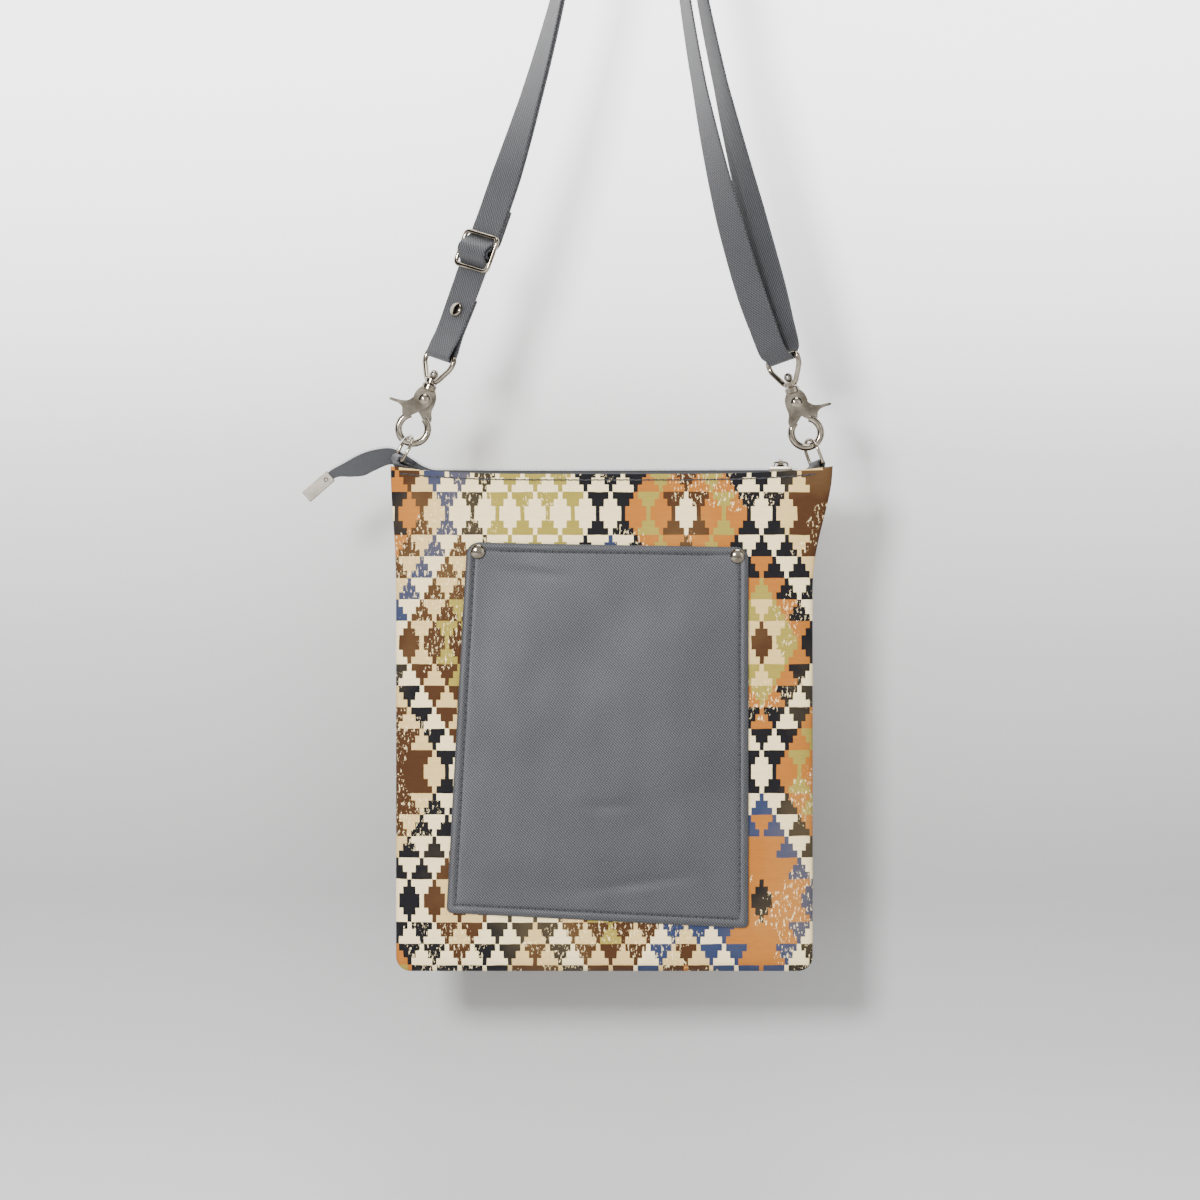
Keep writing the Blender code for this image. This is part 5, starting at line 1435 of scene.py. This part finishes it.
def print_color(s, x, z):
    """Rows of stepped triangles, dark ones between light ones, coloured in rings of large diamonds."""
    u = s.div(s.sub(x, PRINT_AT[0]), MOTIF_WIDTH)
    v = s.div(s.sub(z, PRINT_AT[1]), ROW_HEIGHT)
    turn = s.math("FLOOR", s.add(s.div(v, DIAMOND_ROWS), 0.5))
    base = s.mul(turn, DIAMOND_ROWS)
    folded = s.sub(v, base)
    height = s.math("ABSOLUTE", folded)
    row = s.math("FLOOR", height)
    step = s.math("FLOOR", s.mul(s.sub(height, row), MOTIF_STEPS))
    half = s.div(s.add(s.mul(step, 2.0), 1.0), MOTIF_STEPS * 4)
    shift = s.mul(s.math("FLOORED_MODULO", row, 2.0), 0.5)
    across = s.add(u, shift)
    column = s.math("FLOOR", across)
    from_middle = s.math("ABSOLUTE", s.sub(s.sub(across, column), 0.5))
    dark = s.math("LESS_THAN", from_middle, half)
    dark_middle = s.add(column, 0.5)
    light_middle = s.math("FLOOR", s.add(across, 0.5))
    middle = s.add(s.mul(dark, dark_middle), s.mul(s.sub(1.0, dark), light_middle))
    sideways = s.div(s.sub(middle, shift), DIAMOND_MOTIFS)
    signed_row = s.mul(s.math("SIGN", folded), s.add(row, 0.5))
    level = s.div(s.add(base, signed_row), DIAMOND_ROWS)
    cells = []
    edges = []
    for value in (s.add(sideways, level), s.sub(sideways, level)):
        cell = s.math("FLOOR", value)
        part = s.sub(value, cell)
        cells.append(cell)
        edges.append(s.math("MINIMUM", part, s.sub(1.0, part)))
    ring = s.math("FLOOR", s.mul(s.math("MINIMUM", *edges), 2 * RINGS - 0.01))
    kind = s.math("FLOORED_MODULO", s.add(cells[0], s.mul(cells[1], 2.0)), KINDS)
    index = s.div(s.add(s.add(s.mul(kind, RINGS), ring), 0.5), KINDS * RINGS)
    colors = []
    for palettes in (LIGHTER, DARKER):
        stops = [((i + j / RINGS) / KINDS, color) for i, palette in enumerate(palettes)
                 for j, color in enumerate(palette)]
        colors.append(s.ramp(index, stops, "CONSTANT"))
    return s.mix(dark, *colors)


def make_canvas():
    s = Finish("printed_canvas", 0.86)
    place = s.place()
    x, _, z = s.split(place)
    wander = s.noise(place, 90.0, 3.0)
    slip = s.mul(s.sub(wander, 0.5), 0.0010)
    color = print_color(s, s.add(x, slip), s.add(z, slip))
    worn = s.noise(place, 26.0, 2.0)
    streaks = s.noise(s.join(x, 0.0, s.mul(z, 0.45)), 700.0, 3.0, 0.7)
    fleck = s.mul(s.math("GREATER_THAN", streaks, 0.585), s.math("GREATER_THAN", worn, 0.52))
    color = s.mix(s.mul(fleck, 0.85), color, CREAM)
    stain = s.noise(place, 14.0, 4.0)
    color = s.mix(s.ramp(stain, [(0.50, 0.0), (0.80, 0.12)]), color, BEIGE)
    ribs = s.lines(z, RIB_PITCH)
    picks = s.lines(x, PICK_PITCH)
    thread = s.mul(ribs, s.add(s.mul(picks, 0.5), 0.5))
    slub = s.noise(s.join(s.mul(x, 0.15), 0.0, z), 900.0, 2.0)
    # Partly painted shade: the weave's hollows are darker and its ribs a little lighter by the same height
    # that makes the bump; the slub is the yarn's own tone.
    tone = s.ramp(s.add(s.mul(thread, 0.5), s.mul(slub, 0.5)), [(0.15, 0.74), (0.75, 1.04)])
    color = s.mix(1.0, color, tone, "MULTIPLY")
    normal = s.bump(thread, 0.00012, 0.6, s.bump(slub, 0.00012, 0.5))
    return s.finish(color, None, normal, Specular_IOR_Level=0.25)


def make_twill(name, base, light, pitch, roughness, metallic, use_uv):
    """Diagonal twill: raised floats painted lighter and the ground painted darker, as light and shade, over
    the yarn's own tone, with a soft sheen.
    """
    s = Finish(name, roughness, metallic)
    if use_uv:
        place = s.weave_place()
        a, b, _ = s.split(place)
    else:
        place = s.place()
        a, _, b = s.split(place)
    slant = s.add(a, b)
    counter = s.sub(a, b)
    wobble = s.mul(s.sub(s.noise(place, 400.0, 2.0), 0.5), pitch * 0.8)
    wale = s.lines(s.add(slant, wobble), pitch * 1.414)
    float_ = s.lines(s.add(counter, s.mul(slant, 0.35)), pitch * 2.1)
    yarn = s.noise(s.join(slant, s.mul(counter, 0.35), 0.0), 1500.0, 3.0, 0.6)
    relief = s.mul(wale, s.add(s.mul(float_, 0.4), 0.6))
    # Partly painted light and shade: the relief that makes the bump also lightens the raised floats and
    # darkens the ground; the yarn noise is the cloth's own tone.
    tone = s.add(s.mul(relief, 0.55), s.mul(yarn, 0.45))
    color = s.mix(s.ramp(tone, [(0.25, 0.0), (0.80, 1.0)]), base, light)
    cloud = s.noise(place, 30.0, 3.0)
    color = s.mix(1.0, color, s.ramp(cloud, [(0.3, 0.90), (0.7, 1.08)]), "MULTIPLY")
    normal = s.bump(relief, 0.00014, 0.55, s.bump(yarn, 0.00012, 0.5))
    rough = s.ramp(tone, [(0.2, roughness + 0.12), (0.9, roughness - 0.06)])
    return s.finish(color, rough, normal, Sheen_Weight=0.15, Sheen_Roughness=0.5)


def make_tape():
    s = Finish("woven_tape", 0.8)
    place = s.place()
    x, _, z = s.split(place)
    bone = s.math("ABSOLUTE", s.sub(s.math("FRACT", s.div(x, HERRINGBONE)), 0.5))
    wale = s.lines(s.add(z, s.mul(bone, HERRINGBONE)), 0.0007)
    grain = s.noise(place, 1400.0, 2.0)
    # Partly painted shade: the herringbone's grooves are darker by the same wale that makes the bump; the
    # grain is the tape's own tone.
    tone = s.add(s.mul(wale, 0.6), s.mul(grain, 0.4))
    color = s.ramp(tone, [(0.2, rgb("17181A")), (0.8, rgb("424347"))])
    return s.finish(color, None, s.bump(tone, 0.0001, 0.6), Sheen_Weight=0.1)


def make_thread(name, dark, light):
    s = Finish(name, 0.6)
    place = s.place()
    x, y, z = s.split(place)
    twist = s.lines(s.add(s.add(x, y), z), THREAD_PITCH)
    fuzz = s.noise(place, 2200.0, 2.0)
    # Partly painted shade: the grooves between the twisted plies are darker by the same twist that makes the
    # bump; the fuzz is the thread's own tone.
    tone = s.add(s.mul(twist, 0.7), s.mul(fuzz, 0.3))
    color = s.ramp(tone, [(0.2, rgb(dark)), (0.8, rgb(light))])
    return s.finish(color, None, s.bump(twist, 0.0001, 0.5))


def make_metal(name, bright, dull, roughness, brushed=0.0):
    """Plated metal: slow changes of tone, fine scratches and a little dulling."""
    s = Finish(name, roughness, 1.0)
    place = s.place()
    cloud = s.noise(place, 110.0, 3.0)
    color = s.mix(s.ramp(cloud, [(0.35, 0.0), (0.70, 1.0)]), rgb(bright), rgb(dull))
    x, y, z = s.split(place)
    scratch = s.noise(s.join(s.mul(x, 0.12), y, z), 2600.0, 2.0, 0.6)
    wear = s.noise(place, 420.0, 4.0, 0.65)
    rough = s.ramp(s.add(s.mul(wear, 0.6), s.mul(scratch, 0.4)),
                   [(0.35, roughness * 0.7), (0.70, roughness * 1.5 + 0.03)])
    normal = s.bump(scratch, 0.00005, 0.10 + brushed, s.bump(cloud, 0.0004, 0.15))
    return s.finish(color, rough, normal)


# The hardware's own fine work

def box(length, half_width, half_height, frame, start=0.0):
    """A plain block along local X, between two heights of local Y."""
    outline = [(start, -half_width), (length, -half_width), (length, half_width), (start, half_width)]
    return prism(outline, -half_height, half_height, frame)


def dress_end_cap(metal):
    """A folded metal box on the tail's end with soft edges, and its screw."""
    place = cap_frame()
    half_w = CAP_WIDTH / 2
    half_t = CAP_THICKNESS / 2
    cap = add_solid("zip_end_cap", box(CAP_LENGTH, half_w, half_t, place), metal)
    space = box(CAP_INSERT + SEAT_GAP, half_w - CAP_WALL, half_t - CAP_WALL, place, -0.001)
    combine(cap, "DIFFERENCE", space)
    screw_at = place @ Matrix.Translation((CAP_SCREW_INSET, 0, 0)) @ Matrix.Rotation(math.pi / 2, 4, "X")
    head = half_t + SEAT_GAP
    shank = CAP_SCREW_RADIUS
    profile = [(0, -half_t), (shank, -half_t), (shank, head), (shank * 2, head), (shank * 2, head + 0.0003)]
    profile += [(shank * 1.6, head + 0.0005), (0, head + 0.0006)]
    add_solid("end_cap_screw", turned(profile, screw_at), metal)
    combine(cap, "DIFFERENCE", cylinder(shank + SEAT_GAP, -BORE_REACH, BORE_REACH, screw_at))
    soften(cap, CAP_EDGE)


def soften(obj, width):
    """Rounds an object's sharp edges so that they catch the light."""
    bevel = obj.modifiers.new("edges", "BEVEL")
    bevel.width = width
    bevel.segments = 3
    bevel.limit_method = "ANGLE"
    bevel.angle_limit = math.radians(35)
    bevel.harden_normals = True


def dress_pocket_rivets(metal):
    seat = SEAT_GAP + POCKET_THICKNESS + SEAT_GAP * 2
    for side, word in ((-1, "left"), (1, "right")):
        place = rivet_frame(side)
        inside = -(WALL + SEAT_GAP * 2)
        tip = inside - RIVET_BACK_THICKNESS
        profile = [(0, tip), (RIVET_SHANK_RADIUS, tip), (RIVET_SHANK_RADIUS, seat)]
        profile += [(RIVET_RADIUS * 0.96, seat), *dome(RIVET_RADIUS, seat + 0.0004, RIVET_DOME - 0.0004)]
        add_solid(f"pocket_rivet_{word}", turned(profile, place), metal)
        add_solid(f"rivet_back_{word}", cylinder(RIVET_BACK_RADIUS, tip, inside, place), metal)


def cross_pivot(word):
    """Cuts a pressed cross into both heads of a pivot rivet."""
    reach = PIVOT_HEAD_RADIUS * 0.52
    thin = 0.00028
    top = PLATE_FAR + SEAT_GAP + PIVOT_HEAD_HEIGHT
    outline = [(-reach, -thin), (reach, -thin), (reach, thin), (-reach, thin)]
    rivet = bpy.data.objects[f"pivot_rivet_{word}_fine"]
    place = hook_frame(word) @ Matrix.Translation((0, 0, PIVOT_RISE))
    for turn in (0.25, -0.25):
        spin = place @ Matrix.Rotation(math.pi * turn, 4, "Y")
        for low, high in ((top - 0.0004, top + 0.001), (-top - 0.001, -top + 0.0004)):
            combine(rivet, "DIFFERENCE", prism(outline, low, high, spin))


# What each new piece stands for: the body that it rides on, and its material slot

PIECES = {
    "bag": {
        "canvas": ("front_panel", "back_panel"),
        "grey_twill": ("front_pocket", "ring_tab_left", "ring_tab_right"),
        "zip_tape": ("zip_stringer_front", "zip_stringer_back"),
        "nickel": ("pocket_rivet_left", "pocket_rivet_right", "rivet_back_left", "rivet_back_right",
                   "zip_end_cap", "end_cap_screw"),
    },
    "strap_body": {"grey_twill": ("strap",), "nickel": ("strap_rivet", "strap_rivet_back")},
    "adjuster": {"nickel": ("strap_buckle",)},
    "left_eye": {"nickel": ("clip_eye_left",)},
    "right_eye": {"nickel": ("clip_eye_right",)},
    "left_hook": {"nickel": ("hook_body_left", "pivot_rivet_left"),
                  "steel": ("swivel_pin_left", "jaw_spring_left")},
    "right_hook": {"nickel": ("hook_body_right", "pivot_rivet_right"),
                   "steel": ("swivel_pin_right", "jaw_spring_right")},
    "left_jaw": {"nickel": ("hook_jaw_left",)},
    "right_jaw": {"nickel": ("hook_jaw_right",)},
    "left_ring": {"nickel": ("d_ring_left",)},
    "right_ring": {"nickel": ("d_ring_right",)},
    "slider": {"nickel": ("zip_slider",)},
    "pull": {"nickel": ("zip_pull",)},
}


def make_stage():
    """A pale floor, and a pale backdrop close behind the bag that is seen only from the front; the backdrop
    has painted shade in a band low down and a painted glow at its top.
    """
    wall_y = 0.088
    floor_z = -0.90
    bend = 0.12
    profile = [(wall_y, 1.6), (wall_y, floor_z + bend)]
    for k in range(1, 13):
        angle = math.pi / 2 * k / 12
        profile.append((wall_y - bend * (1 - math.cos(angle)), floor_z + bend * (1 - math.sin(angle))))
    bm = bmesh.new()
    strip(bm, *[[bm.verts.new((x, y, z)) for y, z in profile] for x in (-3.0, 3.0)])
    mesh = bpy.data.meshes.new("backdrop")
    bm.to_mesh(mesh)
    bm.free()
    mesh.shade_smooth()
    s = Finish("backdrop", 0.9)
    _, _, z = s.split(s.place())
    height = s.div(s.add(z, 0.85), 0.70)
    # Painted shade and light: the backdrop's colour is darkest in a band low down and lightest at its top.
    tone = s.ramp(height, [(0.0, 0.56), (0.12, 0.44), (0.25, 0.34), (0.45, 0.46), (0.72, 0.80), (0.95, 0.94)])
    # Painted light: the backdrop glows by its emission, most at its top, though it is no lamp.
    painted_glow = s.ramp(height, [(0.30, 0.0), (0.60, 0.16), (0.92, 1.60)])
    s.put(painted_glow, s.main.inputs["Emission Strength"])
    s.finish(tone, Emission_Color=(1.0, 1.0, 1.0, 1.0))
    behind = s.node("ShaderNodeNewGeometry").outputs["Backfacing"]
    clear = s.node("ShaderNodeBsdfTransparent").outputs[0]
    both = s.node("ShaderNodeMixShader", behind, s.main.outputs[0], clear)
    s.put(both.outputs[0], s.tree.nodes["Material Output"].inputs["Surface"])
    mesh.materials.append(s.material)

    floor_mesh = bpy.data.meshes.new("floor")
    corners = [(x, y, floor_z - 0.001) for x, y in ((-4, -4), (4, -4), (4, 4), (-4, 4))]
    floor_mesh.from_pydata(corners, [], [(0, 1, 2, 3)])
    f = Finish("floor", 0.9)
    grain = f.noise(f.place(), 3.0, 3.0)
    floor_mesh.materials.append(f.finish(f.ramp(grain, [(0.3, 0.74), (0.7, 0.80)])))
    place_object("backdrop", mesh)
    place_object("floor", floor_mesh)


def make_light(name, at, target, size, energy):
    data = bpy.data.lights.new(name, "AREA")
    data.size = size
    data.energy = energy
    lamp = place_object(name, data)
    lamp.location = at
    lamp.rotation_euler = (Vector(target) - Vector(at)).to_track_quat("-Z", "Y").to_euler()


def make_world():
    """A plain studio light round the part: pale before and behind it, dark at its sides."""
    world = bpy.data.worlds.new("studio")
    world.use_nodes = True
    w = Nodes(world.node_tree)
    _, facing, _ = w.split(w.node("ShaderNodeTexCoord").outputs["Generated"])
    tone = w.ramp(w.math("ABSOLUTE", facing), [(0.0, 0.03), (0.50, 0.05), (0.72, 0.90), (1.0, 1.40)])
    background = w.tree.nodes["Background"]
    w.put(tone, background.inputs["Color"])
    background.inputs["Strength"].default_value = 0.75
    bpy.context.scene.world = world


def make_camera():
    """The photograph's long, level view of the front."""
    distance = 3.0
    wide = 0.66
    data = bpy.data.cameras.new("camera")
    data.sensor_width = 36.0
    data.lens = data.sensor_width * distance / wide
    data.clip_end = 50
    camera = place_object("camera", data)
    camera.location = (-0.0176, -distance, -0.5115)
    camera.rotation_euler = (math.pi / 2, 0, 0)
    bpy.context.scene.camera = camera


def main():
    make_camera()
    canvas = make_canvas()
    twill = make_twill("pocket_twill", rgb("1B1C1F"), rgb("525357"), 0.0011, 0.44, 0.30, False)
    webbing = make_twill("webbing", rgb("131316"), rgb("4A4B4F"), 0.0013, 0.52, 0.10, True)
    tape = make_tape()
    coil = make_thread("coil_thread", "8C8F92", "C9CBCC")
    thread = make_thread("stitch_thread", "121317", "35373D")
    # Painted shade: a near-black finish for the discs at the needle holes, standing in for the shade inside
    # each hole.
    needle_hole_shade = make_thread("needle_hole_shade", "08080A", "17181B")
    nickel = make_metal("polished_nickel", "A39A8B", "5A5247", 0.11)
    brushed = make_metal("brushed_nickel", "857E75", "5C564F", 0.34, 0.20)
    steel = make_metal("spring_steel", "9C978E", "68645D", 0.20)

    dress_panel("front_panel", -1, canvas)
    dress_panel("back_panel", 1, canvas)
    dress_pocket(twill)
    extras = [(piece, "bag", "grey_twill") for piece in dress_stitches(thread, needle_hole_shade)]
    dress_pocket_rivets(nickel)
    dress_stringer("zip_stringer_front", -1, tape)
    dress_stringer("zip_stringer_back", 1, tape)
    extras.append((dress_coil(coil), "bag", "zip_tape"))
    dress_end_cap(brushed)
    soften(make_slider(nickel), 0.0003)
    soften(make_pull(nickel), 0.0002)
    for word in ("left", "right"):
        make_tab(word, webbing)
        make_d_ring(word, nickel)
        make_hook(word, nickel, steel)
        make_eye(word, nickel)
        cross_pivot(word)
        for part in ("body", "jaw"):
            soften(bpy.data.objects[f"hook_{part}_{word}_fine"], 0.0004)
    turns, left = dress_strap(webbing)
    dress_strap_rivet(left, nickel)
    make_buckle(left, nickel)
    extras += [(piece, "adjuster", "grey_twill") for piece in turns]

    for body, slots in PIECES.items():
        for slot, nodes in slots.items():
            for node in nodes:
                piece = bpy.data.objects[f"{node}_fine"]
                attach(piece, body)
                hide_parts(node)
    for piece, body, slot in extras:
        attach(piece, body)

    make_stage()
    make_light("key", (-0.85, -2.2, 0.10), (0, 0, -0.55), 0.42, 84)
    make_light("fill", (1.8, -1.8, -0.2), (0, 0, -0.55), 1.8, 16)
    make_light("top", (0.1, -0.6, 1.2), (0, 0, -0.5), 0.9, 22)
    make_world()


main()
